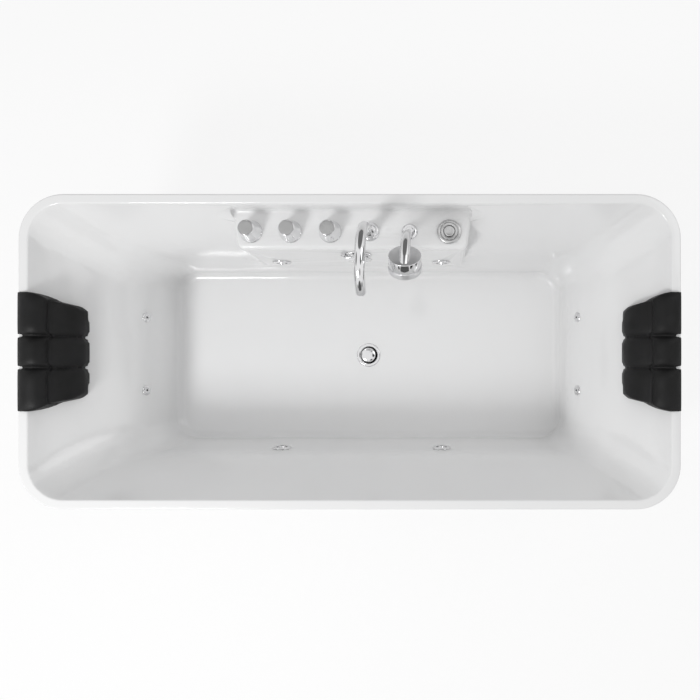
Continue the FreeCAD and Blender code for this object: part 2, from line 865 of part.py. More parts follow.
def handle_way(lean):
    """The direction in the handle's own frame that leans forward from upright by so many degrees."""
    turn = math.radians(lean - HANDLE_LEAN)
    return V(0, -math.sin(turn), math.cos(turn))


def bend_point(lean):
    """The point of the handle's bend, in the handle's own frame, where it leans by so many degrees."""
    turn = math.radians(lean - HANDLE_LEAN)
    along = HANDLE_LENGTH + HANDLE_BEND_R * math.sin(turn)
    ahead = -HANDLE_BEND_R * (1 - math.cos(turn))
    return V(0, ahead, along)


def on_head(shape):
    """A copy whose local Z is the head's axis, from the middle of its back."""
    middle = bend_point(HANDLE_SWEEP) - handle_way(HEAD_ANGLE - 90) * HEAD_BACK
    return placed(shape, middle, handle_way(HEAD_ANGLE))


def shower_handle():
    low = 2 * SLIP
    stick = turned(
        [
            (0, -HANDLE_PEG_L),
            (HANDLE_PEG_R - 1, -HANDLE_PEG_L),
            (HANDLE_PEG_R, -HANDLE_PEG_L + 2),
            (HANDLE_PEG_R, low),
            (HANDLE_PEG_R + HANDLE_SHOULDER, low),
            (HANDLE_PEG_R + HANDLE_SHOULDER, low + 4),
            (HANDLE_LOW_R, low + 9),
            (HANDLE_MIDDLE_R, HANDLE_LENGTH),
            (0, HANDLE_LENGTH),
        ]
    )
    start = bend_point(HANDLE_LEAN)
    middle = bend_point((HANDLE_LEAN + HANDLE_SWEEP) / 2)
    end = bend_point(HANDLE_SWEEP)
    way = handle_way(HANDLE_SWEEP)
    path = Part.Wire([Part.Arc(start, middle, end).toShape()])
    foot = Part.Wire([Part.makeCircle(HANDLE_MIDDLE_R, start, UP)])
    top = Part.Wire([Part.makeCircle(HANDLE_TOP_R, end, way)])
    bend = path.makePipeShell([foot, top], True, False)
    root = rod(end, end + way * HEAD_ROOT, HANDLE_TOP_R)
    drum = turned(
        [
            (0, 0),
            (HEAD_R - 1.2, 0),
            (HEAD_R, 1.2),
            (HEAD_R, HEAD_L - HEAD_RING_L - 0.8),
            (HEAD_R - 0.8, HEAD_L - HEAD_RING_L),
            (HEAD_RING_R, HEAD_L - HEAD_RING_L + 1),
            (HEAD_RING_R, HEAD_L - 2),
            (HEAD_RING_R - 2, HEAD_L),
            (FACE_R + SLIP, HEAD_L),
            (FACE_R + SLIP, HEAD_L - FACE_T),
            (0, HEAD_L - FACE_T),
        ]
    )
    return joined([stick, bend, root, on_head(drum)])


def shower_face():
    plate = disc(FACE_R, HEAD_L - FACE_T + RUN_FIT, HEAD_L - 1)
    nubs = []
    for count, ring_r in NUB_RINGS:
        nub = Part.makeCone(1.6, 1.0, 2.5, V(ring_r, 0, HEAD_L - 1.5))
        nubs += spun(nub, count, 0)
    return on_head(joined([plate] + nubs))


def control_body():
    body = turned(
        [
            (0, -CONTROL_DROP),
            (CONTROL_BODY_R - 3, -CONTROL_DROP),
            (CONTROL_BODY_R - 3, -CONTROL_DROP + 30),
            (CONTROL_BODY_R, -CONTROL_DROP + 30),
            (CONTROL_BODY_R, 0),
            (CONTROL_R, 0),
            (CONTROL_R, CONTROL_PLATE_T),
            (0, CONTROL_PLATE_T),
        ]
    )
    tail = disc(AIR_PIPE_R - 1, -CONTROL_DROP - CONTROL_TAIL_L, -CONTROL_DROP)
    bore = disc(SPINDLE_R + RUN_FIT, -BUTTON_STEM_L - BUTTON_TRAVEL - END_ROOM, CONTROL_PLATE_T + 1)
    bezel = turned(
        [
            (CONTROL_RING_R + SLIP, 0),
            (CONTROL_R, 0),
            (CONTROL_R, 3),
            (CONTROL_R - 3, 6.5),
            (CONTROL_R - 6, 7),
            (CONTROL_RING_R + SLIP, 6),
        ]
    )
    return joined([body, tail, bezel]).cut(bore)


def control_ring():
    """The air ring, with a scalloped edge to grip."""
    low = CONTROL_PLATE_T + SLIP
    inner = CONTROL_BUTTON_R + BUTTON_GAP
    collar = turned(
        [
            (inner, low),
            (CONTROL_RING_R, low),
            (CONTROL_RING_R, 7.5),
            (CONTROL_RING_R - 2, 10),
            (CONTROL_BUTTON_R + 2, 9),
            (inner, 8),
        ]
    )
    return collar.cut(round_holes(((RING_SCALLOPS, CONTROL_RING_R + 1.4),), 2.6, 6.5, 12))


def control_button():
    low = CONTROL_PLATE_T + BUTTON_TRAVEL + BUTTON_ROOM
    cap = turned(
        [
            (0, low),
            (CONTROL_BUTTON_R, low),
            (CONTROL_BUTTON_R, 9.5),
            (CONTROL_BUTTON_R - 1.5, 11),
            (CONTROL_BUTTON_R - 5, 10.2),
            (0, 10.2),
        ]
    )
    return cap.fuse(disc(SPINDLE_R, -BUTTON_STEM_L, low)).removeSplitter()


# ---------------------------------------------------------------- waste and overflow
def drain_flange():
    """Polished waste flange, dished to a bore."""
    return turned(
        [
            (DRAIN_BORE_R, FLOOR_Z - DRAIN_SHANK_L),
            (DRAIN_SHANK_R, FLOOR_Z - DRAIN_SHANK_L),
            (DRAIN_SHANK_R, FLOOR_Z),
            (DRAIN_R, FLOOR_Z),
            (DRAIN_R, FLOOR_Z + 1.2),
            (DRAIN_R - 3, FLOOR_Z + 3.2),
            (DRAIN_R - 7, FLOOR_Z + 3.2),
            (PLUG_R + 4, FLOOR_Z + 1.8),
            (PLUG_R - 1, FLOOR_Z + 0.6),
            (DRAIN_BORE_R, FLOOR_Z - 3),
        ]
    )


def drain_gasket():
    return ring(DRAIN_SHANK_R + RUN_FIT, DRAIN_R, UNDER_Z - GASKET_T, UNDER_Z)


def drain_nut():
    top = UNDER_Z - GASKET_T
    return hexagon(2 * DRAIN_R - 6, top - DRAIN_NUT_H, top, DRAIN_SHANK_R + RUN_FIT)


def waste_body():
    """Waste trap body with a guide for the plug's stem and a branch for the overflow."""
    collar_low = FLOOR_Z - DRAIN_SHANK_L - 4
    collar_high = UNDER_Z - GASKET_T - DRAIN_NUT_H - END_ROOM
    shell = turned(
        [
            (0, WASTE_END_Z),
            (WASTE_R, WASTE_END_Z),
            (WASTE_R, WASTE_END_Z + WASTE_TAIL),
            (WASTE_R + 2, WASTE_END_Z + WASTE_TAIL),
            (WASTE_R + 2, collar_low - 10),
            (DRAIN_SHANK_R + 5, collar_low - 2),
            (DRAIN_SHANK_R + 5, collar_high),
            (0, collar_high),
        ]
    )
    stub_end = V(-3 * OVERFLOW_PIPE_R, 0, OVERFLOW_PIPE_Z)
    stub = rod(V(0, 0, OVERFLOW_PIPE_Z), stub_end, OVERFLOW_PIPE_R)
    shell = shell.fuse(stub)
    shell = shell.cut(disc(WASTE_BORE_R, WASTE_END_Z - 1, collar_low + 1))
    shank_end = FLOOR_Z - DRAIN_SHANK_L - SLIP
    shell = shell.cut(disc(DRAIN_SHANK_R + RUN_FIT, shank_end, collar_high + 1))
    shell = shell.cut(disc(DRAIN_BORE_R, collar_low, collar_high))
    shell = shell.cut(rod(V(0, 0, OVERFLOW_PIPE_Z), stub_end + V(-1, 0, 0), OVERFLOW_PIPE_R - PIPE_WALL))
    low = FLOOR_Z - GUIDE_DROP
    high = low + GUIDE_H
    guide = disc(PLUG_STEM_R + GUIDE_WALL, low, high)
    rib = block((0, -GUIDE_WALL / 2, low + 2), (WASTE_BORE_R + 1, GUIDE_WALL / 2, high - 2))
    shell = joined([shell, guide] + spun(rib, 3, 60))
    return shell.cut(disc(PLUG_STEM_R + RUN_FIT, low - 1, high + 1))


def plug():
    """Domed plug and its stem, standing open."""
    low = FLOOR_Z + PLUG_SEAT_H + PLUG_LIFT
    cap = turned(
        [
            (0, low),
            (PLUG_R - 1, low),
            (PLUG_R, low + 1),
            (PLUG_R, low + 2.4),
            (PLUG_R - 2, low + 4),
            (PLUG_R - 7, low + 5.8),
            (PLUG_R - 14, low + 7),
            (0, low + 7.4),
        ]
    )
    stem_low = FLOOR_Z - GUIDE_DROP + END_ROOM
    return cap.fuse(disc(PLUG_STEM_R, stem_low, low)).removeSplitter()


def plug_seal():
    low = FLOOR_Z + PLUG_SEAT_H + PLUG_LIFT
    return ring(PLUG_STEM_R + RUN_FIT, DRAIN_BORE_R - 1, low - PLUG_SEAL_T, low)


def overflow_bezel():
    """Fixed ring with slots that let the water in behind the knob."""
    bezel = turned(
        [
            (OVERFLOW_HOLE_R - 4, SEAT_GAP),
            (OVERFLOW_R, SEAT_GAP),
            (OVERFLOW_R, 4),
            (OVERFLOW_R - 3, 8),
            (OVERFLOW_KNOB_R + 2, 8),
            (OVERFLOW_KNOB_R + 2, 4),
            (OVERFLOW_HOLE_R - 4, 4),
        ]
    )
    slot = block((OVERFLOW_KNOB_R + 1, -2.2, 4.6), (OVERFLOW_R + 2, 2.2, 9))
    return bezel.cut(Part.makeCompound(spun(slot, OVERFLOW_SLOTS, 180 / OVERFLOW_SLOTS)))


def overflow_knob():
    """Turning knob with a raised grip bar; it works the plug through a cable."""
    low = 4 + 2 * SLIP
    face = turned(
        [
            (0, low),
            (OVERFLOW_KNOB_R - 1, low),
            (OVERFLOW_KNOB_R, low + 1),
            (OVERFLOW_KNOB_R, low + 6),
            (OVERFLOW_KNOB_R - 3, low + 8.5),
            (0, low + 9.5),
        ]
    )
    grip = block((-OVERFLOW_KNOB_R + 6, -4, low + 6), (OVERFLOW_KNOB_R - 6, 4, low + 14))
    stem = disc(SPINDLE_R, -SPINDLE_L, low)
    return joined([face, grip, stem])


def overflow_body():
    """Cup behind the wall, with a guide for the knob's stem and an outlet towards the drop pipe."""
    outer = OVERFLOW_HOLE_R - 1
    cup = disc(outer, -OVERFLOW_CUP_L, 0).cut(disc(outer - CUP_WALL, -OVERFLOW_CUP_L + CUP_WALL, 1))
    post = disc(SPINDLE_R + CUP_WALL, -OVERFLOW_CUP_L, -SPINDLE_L + 18)
    return joined([cup, post]).cut(disc(SPINDLE_R + RUN_FIT, -SPINDLE_L - END_ROOM, 1))


def overflow_pipe(seat):
    middle = seat.behind(OVERFLOW_PIPE_BACK)
    slant = math.radians(OVERFLOW_SLANT)
    down = V(-math.sin(slant), 0, -math.cos(slant))
    start = middle + down * (OVERFLOW_HOLE_R - 1 + SEAT_GAP)
    knee = start + down * ((OVERFLOW_PIPE_X - start.x) / down.x)
    points = [
        start,
        knee,
        V(OVERFLOW_PIPE_X, middle.y, OVERFLOW_PIPE_Z),
        V(OVERFLOW_PIPE_X, 0, OVERFLOW_PIPE_Z),
        V(-3 * OVERFLOW_PIPE_R, 0, OVERFLOW_PIPE_Z),
    ]
    return pipe(points, OVERFLOW_PIPE_R + 4, OVERFLOW_PIPE_R - 2, PIPE_WALL)


def suction_cover():
    """Low round cover with rings of holes."""
    cover = turned(
        [
            (0, SEAT_GAP),
            (SUCTION_R, SEAT_GAP),
            (SUCTION_R, 2),
            (SUCTION_R - 4, 5.4),
            (SUCTION_R - 10, 6.4),
            (0, 6.4),
        ]
    )
    return cover.cut(round_holes(SUCTION_HOLE_RINGS, 1.8, -1, 8))


def suction_body():
    outer = SUCTION_HOLE_R - 1
    cup = disc(outer, -SUCTION_CUP_L, -SEAT_GAP)
    return cup.cut(disc(outer - CUP_WALL, -SUCTION_CUP_L + CUP_WALL, 1))


# ---------------------------------------------------------------- jets
def jet_trim():
    return turned(
        [
            (JET_SLEEVE_R - 1.2, -JET_SLEEVE_L),
            (JET_SLEEVE_R, -JET_SLEEVE_L),
            (JET_SLEEVE_R, SEAT_GAP),
            (JET_R, SEAT_GAP),
            (JET_R, 1.6),
            (JET_R - 2.5, 4),
            (JET_R - 8, 5),
            (JET_SLEEVE_R - 2.2, 4),
            (JET_SLEEVE_R - 2.2, 2.4),
            (JET_SLEEVE_R - 1.2, 1),
        ]
    )


def jet_nozzle():
    """The ball that aims the jet, with its snout and bore."""
    centre = V(0, 0, -JET_BALL_BACK)
    ball = Part.makeSphere(JET_BALL_R, centre)
    keep = disc(JET_BALL_R + 1, -JET_BALL_BACK - 9, -JET_BALL_BACK + 9)
    snout = Part.makeCone(9.5, 8, 7, V(0, 0, -JET_BALL_BACK + 6))
    body = ball.common(keep).fuse(snout)
    bore = Part.makeCone(10, 5, 24, V(0, 0, -JET_BALL_BACK - 10))
    return body.cut(bore).removeSplitter()


def jet_body():
    outer = JET_HOLE_R - SLIP
    return turned(
        [
            (0, -JET_REACH - JET_TAIL),
            (JET_SLEEVE_R - 3, -JET_REACH - JET_TAIL),
            (outer, -JET_REACH + 12),
            (outer, -SEAT_GAP),
            (JET_SLEEVE_R + RUN_FIT, -SEAT_GAP),
            (JET_SLEEVE_R + RUN_FIT, -JET_REACH + 12),
            (0, -JET_REACH + 2),
        ]
    )


def micro_face():
    """Small end jet: a domed face with one bore."""
    return turned(
        [
            (3, -MICRO_SLEEVE_L),
            (MICRO_HOLE_R - 3, -MICRO_SLEEVE_L),
            (MICRO_HOLE_R - 3, SEAT_GAP),
            (MICRO_R, SEAT_GAP),
            (MICRO_R, 1.4),
            (MICRO_R - 2, 3.2),
            (6, 4.4),
            (3, 3.4),
        ]
    )


def micro_body():
    outer = MICRO_HOLE_R - SLIP
    return turned(
        [
            (0, -MICRO_REACH - MICRO_TAIL),
            (MICRO_HOLE_R - 3, -MICRO_REACH - MICRO_TAIL),
            (outer + 3, -MICRO_REACH + 9),
            (outer + 3, -WALL - NUT_H - 4),
            (outer, -WALL - NUT_H - 4),
            (outer, -SEAT_GAP),
            (MICRO_HOLE_R - 3 + RUN_FIT, -SEAT_GAP),
            (MICRO_HOLE_R - 3 + RUN_FIT, -MICRO_SLEEVE_L - END_ROOM),
            (0, -MICRO_SLEEVE_L - END_ROOM),
        ]
    )


class Manifolds:
    """The water and air pipes that run round the tub and feed the jets."""

    def __init__(self, large, small):
        self.large = large
        self.small = small
        self.water_y = max(abs(seat.behind(JET_REACH).y) for seat in large)
        self.water_x = max(abs(seat.behind(MICRO_REACH).x) for seat in small)
        self.air_y = self.water_y + AIR_PIPE_OUT
        self.air_x = self.water_x + AIR_PIPE_OUT

    def run(self, x, y, z):
        """A loop open at the middle of the back."""
        start = JET_X - 2 * WATER_PIPE_R
        points = [V(start, y, z), V(x, y, z), V(x, -y, z), V(-x, -y, z), V(-x, y, z), V(-start, y, z)]
        return bent_path(points, LOOP_BEND_R)

    def drop_end(self, seat, reach, radius):
        """Lower end of a jet's vertical leg."""
        return seat.behind(reach) - V(0, 0, radius + LEG_DROP)

    def leg(self, seat, reach, radius):
        return rod(seat.behind(reach), self.drop_end(seat, reach, radius), radius)

    def water(self, pump_top):
        path = self.run(self.water_x, self.water_y, WATER_PIPE_Z)
        ends = [(self.drop_end(seat, JET_REACH, JET_LEG_R), JET_LEG_R) for seat in self.large]
        ends += [(self.drop_end(seat, MICRO_REACH, MICRO_LEG_R), MICRO_LEG_R) for seat in self.small]
        ends.append((pump_top, PUMP_OUTLET_R - PIPE_WALL))
        branches = [rod(V(end.x, end.y, WATER_PIPE_Z), end, radius) for end, radius in ends]
        solid = joined([swept(path, WATER_PIPE_R)] + branches)
        return solid.cut(swept(path, WATER_PIPE_R - PIPE_WALL))

    def air(self, control_tail):
        path = self.run(self.air_x, self.air_y, AIR_PIPE_Z)
        stubs = []
        for seat in self.large:
            tail = seat.behind(JET_REACH + JET_TAIL + AIR_STUB_L)
            end = V(tail.x, math.copysign(self.air_y, tail.y), AIR_PIPE_Z)
            stubs += self.air_stub(seat.behind(JET_REACH + JET_TAIL), tail, end)
        for seat in self.small:
            tail = seat.behind(MICRO_REACH + MICRO_TAIL + AIR_STUB_L)
            end = V(math.copysign(self.air_x, tail.x), tail.y, AIR_PIPE_Z)
            stubs += self.air_stub(seat.behind(MICRO_REACH + MICRO_TAIL), tail, end)
        knee = control_tail - V(0, 0, AIR_RISER_DROP)
        landing = V(knee.x, self.air_y, knee.z - (self.air_y - knee.y))
        foot = V(knee.x, self.air_y, AIR_PIPE_Z)
        riser = swept(bent_path([control_tail, knee, landing, foot], AIR_RISER_BEND), AIR_PIPE_R - 1)
        solid = joined([swept(path, AIR_PIPE_R), riser] + stubs)
        return solid.cut(swept(path, AIR_PIPE_R - 2))

    def air_stub(self, start, tail, end):
        """A straight piece off a jet's tail and a slanted one from it to the air pipe."""
        back = (start - tail).normalize()
        return [rod(start, tail, AIR_PIPE_R - 2), rod(tail + back * 2, end, AIR_PIPE_R - 2.5)]


# ---------------------------------------------------------------- pump
def pump_centre(manifolds):
    return V(manifolds.water_x + PUMP_OUTLET_OFF, VOLUTE_Y, PUMP_Z)


def along_y(shape, at):
    """A copy with local Z along +Y, at a point."""
    return placed(shape, at, V(0, 1, 0))


def pump_volute(at):
    case = along_y(disc(VOLUTE_R, 0, VOLUTE_W), at)
    neck = along_y(disc(PUMP_INLET_R, VOLUTE_W, VOLUTE_W + PUMP_INLET_L), at)
    outlet_at = at + V(-PUMP_OUTLET_OFF, VOLUTE_W / 2, 0)
    outlet_top = outlet_at + V(0, 0, VOLUTE_R + PUMP_OUTLET_H)
    solid = joined([case, neck, rod(outlet_at, outlet_top, PUMP_OUTLET_R)])
    chamber = along_y(disc(IMPELLER_R + 4, CASE_WALL, VOLUTE_W - CASE_WALL), at)
    inlet_bore = along_y(disc(PUMP_OUTLET_R, VOLUTE_W / 2, VOLUTE_W + PUMP_INLET_L + 1), at)
    outlet_bore = rod(outlet_at + V(0, 0, 10), outlet_top + UP, PUMP_OUTLET_R - 4)
    shaft_bore = along_y(disc(PUMP_SHAFT_R + RUN_FIT, -1, CASE_WALL + 1), at)
    return solid.cut(chamber).cut(inlet_bore).cut(outlet_bore).cut(shaft_bore)


def pump_impeller(at):
    """Open impeller: a back disc with curved blades."""
    plate_t = BLADE_T + 0.5
    top = IMPELLER_Y + plate_t + BLADE_W
    plate = disc(IMPELLER_R, IMPELLER_Y, IMPELLER_Y + plate_t)
    hub = disc(PUMP_SHAFT_R + 5, IMPELLER_Y, top + 5)
    reach = IMPELLER_R - 2
    low = IMPELLER_Y + plate_t / 2
    start = V(PUMP_SHAFT_R + 3, 0, low)
    middle = V(0.62 * reach * math.cos(0.25), 0.62 * reach * math.sin(0.25), low)
    end = V(reach * math.cos(0.9), reach * math.sin(0.9), low)
    wall = Part.Arc(start, middle, end).toShape().extrude(V(0, 0, top - low))
    blade = wall.makeOffsetShape(BLADE_T, 0.01, fill=True)
    wheel = joined([plate, hub] + spun(blade, IMPELLER_BLADES, 0))
    wheel = wheel.cut(disc(PUMP_SHAFT_R + RUN_FIT, 0, top - 1))
    return along_y(wheel, at)


def pump_shaft(at):
    return along_y(disc(PUMP_SHAFT_R, -MOTOR_L + 6, IMPELLER_Y + BLADE_W), at)


def motor_housing(at):
    """Finned motor housing, bored for the shaft."""
    core = MOTOR_R - FIN_H
    low = -MOTOR_L + MOTOR_CAP_L
    end_t = 10.0
    body = disc(core, low, -SEAT_GAP)
    face = disc(MOTOR_R, -end_t, -SEAT_GAP)
    back = disc(MOTOR_R - 3, low, low + end_t)
    fin = block((core - 2, -1.25, low + 1), (MOTOR_R - 1, 1.25, 1 - end_t))
    housing = joined([body, face, back] + spun(fin, MOTOR_FINS, 180 / MOTOR_FINS))
    housing = housing.cut(disc(PUMP_SHAFT_R + RUN_FIT, -MOTOR_L, 1))
    return along_y(housing, at)


def motor_cap(at):
    """Pressed cap over the cooling fan, with a ring of slots."""
    low = -MOTOR_L
    high = -MOTOR_L + MOTOR_CAP_L - SEAT_GAP
    cap = turned(
        [
            (0, low - 4),
            (MOTOR_R - 8, low - 4),
            (MOTOR_R - 2, low + 2),
            (MOTOR_R - 2, high),
            (MOTOR_R - 4, high),
            (MOTOR_R - 4, low + 2),
            (MOTOR_R - 9, low - 2),
            (0, low - 2),
        ]
    )
    slot = block((2 * PUMP_SHAFT_R, -2, low - 6), (MOTOR_R - 14, 2, low))
    return along_y(cap.cut(Part.makeCompound(spun(slot, CAP_SLOTS, 0))), at)


def motor_fan(at):
    low = -MOTOR_L + 8
    high = low + MOTOR_CAP_L / 2
    blade = block((PUMP_SHAFT_R + 3, -1.2, low + 1), (MOTOR_R - 12, 1.2, high - 1))
    fan = joined([disc(PUMP_SHAFT_R + 5, low, high)] + spun(blade, FAN_BLADES, 0))
    return along_y(fan.cut(disc(PUMP_SHAFT_R + RUN_FIT, low - 1, high + 1)), at)


def pump_bearer(at):
    """Plate across the frame's rails with a saddle for the motor on it."""
    inner = CROSS_X[1] - RAIL / 2
    outer = RAIL_HALF_X + RAIL / 2
    top = RAIL_TOP + BEARER_T
    plate = block((inner, at.y - MOTOR_L + 30, RAIL_TOP), (outer, at.y + VOLUTE_W, top))
    y0 = at.y - MOTOR_L + 60
    y1 = at.y - 40
    base = block((at.x - SADDLE_HALF, y0, RAIL_TOP), (at.x + SADDLE_HALF, y1, top + 8))
    neck = block((at.x - SADDLE_NECK, y0, top), (at.x + SADDLE_NECK, y1, at.z))
    neck = neck.cut(along_y(disc(MOTOR_R + SEAT_GAP, -MOTOR_L, 0), at))
    return joined([plate, base, neck])


def pump_unions(at):
    outlet = at + V(-PUMP_OUTLET_OFF, VOLUTE_W / 2, VOLUTE_R + PUMP_OUTLET_H - 12)
    up = ring(PUMP_OUTLET_R + RUN_FIT, PUMP_OUTLET_R + UNION_WALL, 0, UNION_L)
    side = ring(PUMP_INLET_R + RUN_FIT, PUMP_INLET_R + UNION_WALL, VOLUTE_W + 4, VOLUTE_W + 4 + UNION_L)
    return [placed(up, outlet, UP), along_y(side, at)]


def suction_pipe(seat, at):
    middle = seat.behind(SUCTION_PIPE_BACK)
    drop_x = SUCTION_HOLE_R - 1 + SEAT_GAP
    inlet = at + V(0, VOLUTE_W + PUMP_INLET_L + SEAT_GAP, 0)
    points = [
        V(drop_x, middle.y, middle.z),
        V(drop_x + 60, middle.y, middle.z),
        V(drop_x + 60, middle.y, at.z),
        V(at.x, middle.y, at.z),
        inlet,
    ]
    return pipe(points, SUCTION_PIPE_BEND, SUCTION_PIPE_R, PIPE_WALL)


def control_box():
    """Sealed switch box of the pump, on the frame's far end rail, with a cable gland."""
    x0 = -RAIL_HALF_X + 5
    box = block((x0, -BOX_HALF_Y, RAIL_TOP), (x0 + BOX_W, BOX_HALF_Y, RAIL_TOP + BOX_H))
    edges = [e for e in box.Edges if e.BoundBox.ZLength > 1]
    box = box.makeFillet(8, edges)
    gland_at = V(x0 + BOX_W, 0, RAIL_TOP + BOX_H / 3)
    gland = Part.makeCylinder(BOX_GLAND_R, 16, gland_at, V(1, 0, 0))
    return box.fuse(gland).removeSplitter()


# ---------------------------------------------------------------- headrests
def rest_section(y, share, crown):
    """Outline of a headrest across the rim at one y.

    share is how much of the pad's reach it has inside the crease, crown how far it stands up.
    """
    back = HALF_L
    inner = REST_CREASE_X - REST_REACH * share
    crease = V(REST_CREASE_X, y, RIM_Z - REST_CREASE_DROP - 10 * (1 - crown))
    roll_mid = V((REST_CREASE_X + back) / 2 + 4, y, RIM_Z + REST_RISE * crown)
    roll_end = V(back, y, RIM_Z + 2)
    tip = V(inner, y, RIM_Z - REST_CREASE_DROP - (REST_INNER_DROP - REST_CREASE_DROP) * share)
    pad_mid = (crease + tip) * 0.5 + V(-0.8, 0, 0.6) * (REST_CROWN * crown * share)
    root = V(inner + 4, y, RIM_Z - REST_ROOT)
    back_root = V(back, y, RIM_Z - REST_ROOT)
    edges = [
        Part.makeLine(back_root, roll_end),
        Part.Arc(roll_end, roll_mid, crease).toShape(),
        Part.Arc(crease, pad_mid, tip).toShape(),
        Part.makeLine(tip, root),
        Part.makeLine(root, back_root),
    ]
    return Part.Wire(edges)


def rest_loft(stations):
    return Part.makeLoft([rest_section(y, share, crown) for y, share, crown in stations], True, False)


def rest_plan():
    """A prism on the headrest's plan: square shoulders on the rim, drawn in towards a round nose."""
    low = RIM_Z - REST_ROOT
    shoulder_x = HALF_L - REST_SHOULDER_IN
    tip_x = HALF_L - REST_TIP_IN
    nose_x = HALF_L - REST_INNER_IN - REST_NOSE_ROOM
    edges = []
    for side in (1, -1):
        shoulder = V(shoulder_x, side * REST_HALF, low)
        crease = V(REST_CREASE_X, side * REST_CREASE_HALF, low)
        tip = V(tip_x, side * REST_TIP_HALF, low)
        nose = V(nose_x, side * REST_NOSE_HALF, low)
        neck_in, neck_out = REST_NECK_BULGE
        neck = (shoulder + crease) * 0.5 + V(-neck_in, side * neck_out, 0)
        nose_in, nose_out = REST_NOSE_BULGE
        round_end = (tip + nose) * 0.5 + V(-nose_in, side * nose_out, 0)
        edges.append(Part.makeLine(V(HALF_L, side * REST_HALF, low), shoulder))
        edges.append(Part.Arc(shoulder, neck, crease).toShape())
        edges.append(Part.makeLine(crease, tip))
        edges.append(Part.Arc(tip, round_end, nose).toShape())
    edges.append(Part.makeLine(V(nose_x, -REST_NOSE_HALF, low), V(nose_x, REST_NOSE_HALF, low)))
    edges.append(Part.makeLine(V(HALF_L, -REST_HALF, low), V(HALF_L, REST_HALF, low)))
    plan = Part.Face(Part.Wire(Part.__sortEdges__(edges)))
    return plan.extrude(V(0, 0, REST_ROOT + 2 * REST_RISE))


def headrest():
    """Headrest at the +X end: three crowned cushions joined by small webs."""
    half = REST_MIDDLE_HALF
    start = half + REST_SLOT
    middle = rest_loft(
        [
            (-half, 0.93, 0.55),
            (-half + 9, 1.0, 0.9),
            (0, 1.02, 1.0),
            (half - 9, 1.0, 0.9),
            (half, 0.93, 0.55),
        ]
    )
    side = rest_loft(
        [
            (start, 0.93, 0.55),
            (start + 10, 1.0, 0.9),
            (start + 40, 1.0, 1.0),
            (REST_HALF - 32, 0.97, 0.95),
            (REST_HALF - 12, 0.92, 0.8),
            (REST_HALF, 0.85, 0.45),
        ]
    )
    web_form = rest_loft([(half - 2, 0.87, 0.1), (start + 2, 0.87, 0.1)])
    webs = []
    for near, far in REST_WEBS_IN:
        low = (HALF_L - far, half - 2, RIM_Z - REST_ROOT)
        webs.append(web_form.common(block(low, (HALF_L - near, start + 2, RIM_Z + REST_RISE))))
    keep = well(-2 * SEAT_GAP, 0)
    above_low = (WELL_L / 2, -2 * REST_HALF, RIM_Z + SEAT_GAP)
    above = block(above_low, (HALF_L, 2 * REST_HALF, RIM_Z + 2 * REST_RISE))
    mouth = rounded_slab(WELL_L - 2 * SEAT_GAP, WELL_W, WELL_STEPS[0][3], RIM_Z - 1, RIM_Z + 1)
    keep = keep.multiFuse([above, mouth])
    wing = joined([side] + webs)
    other = wing.mirror(V(0, 0, 0), V(0, 1, 0))
    whole = joined([middle, wing, other])
    return whole.common(keep).common(rest_plan())


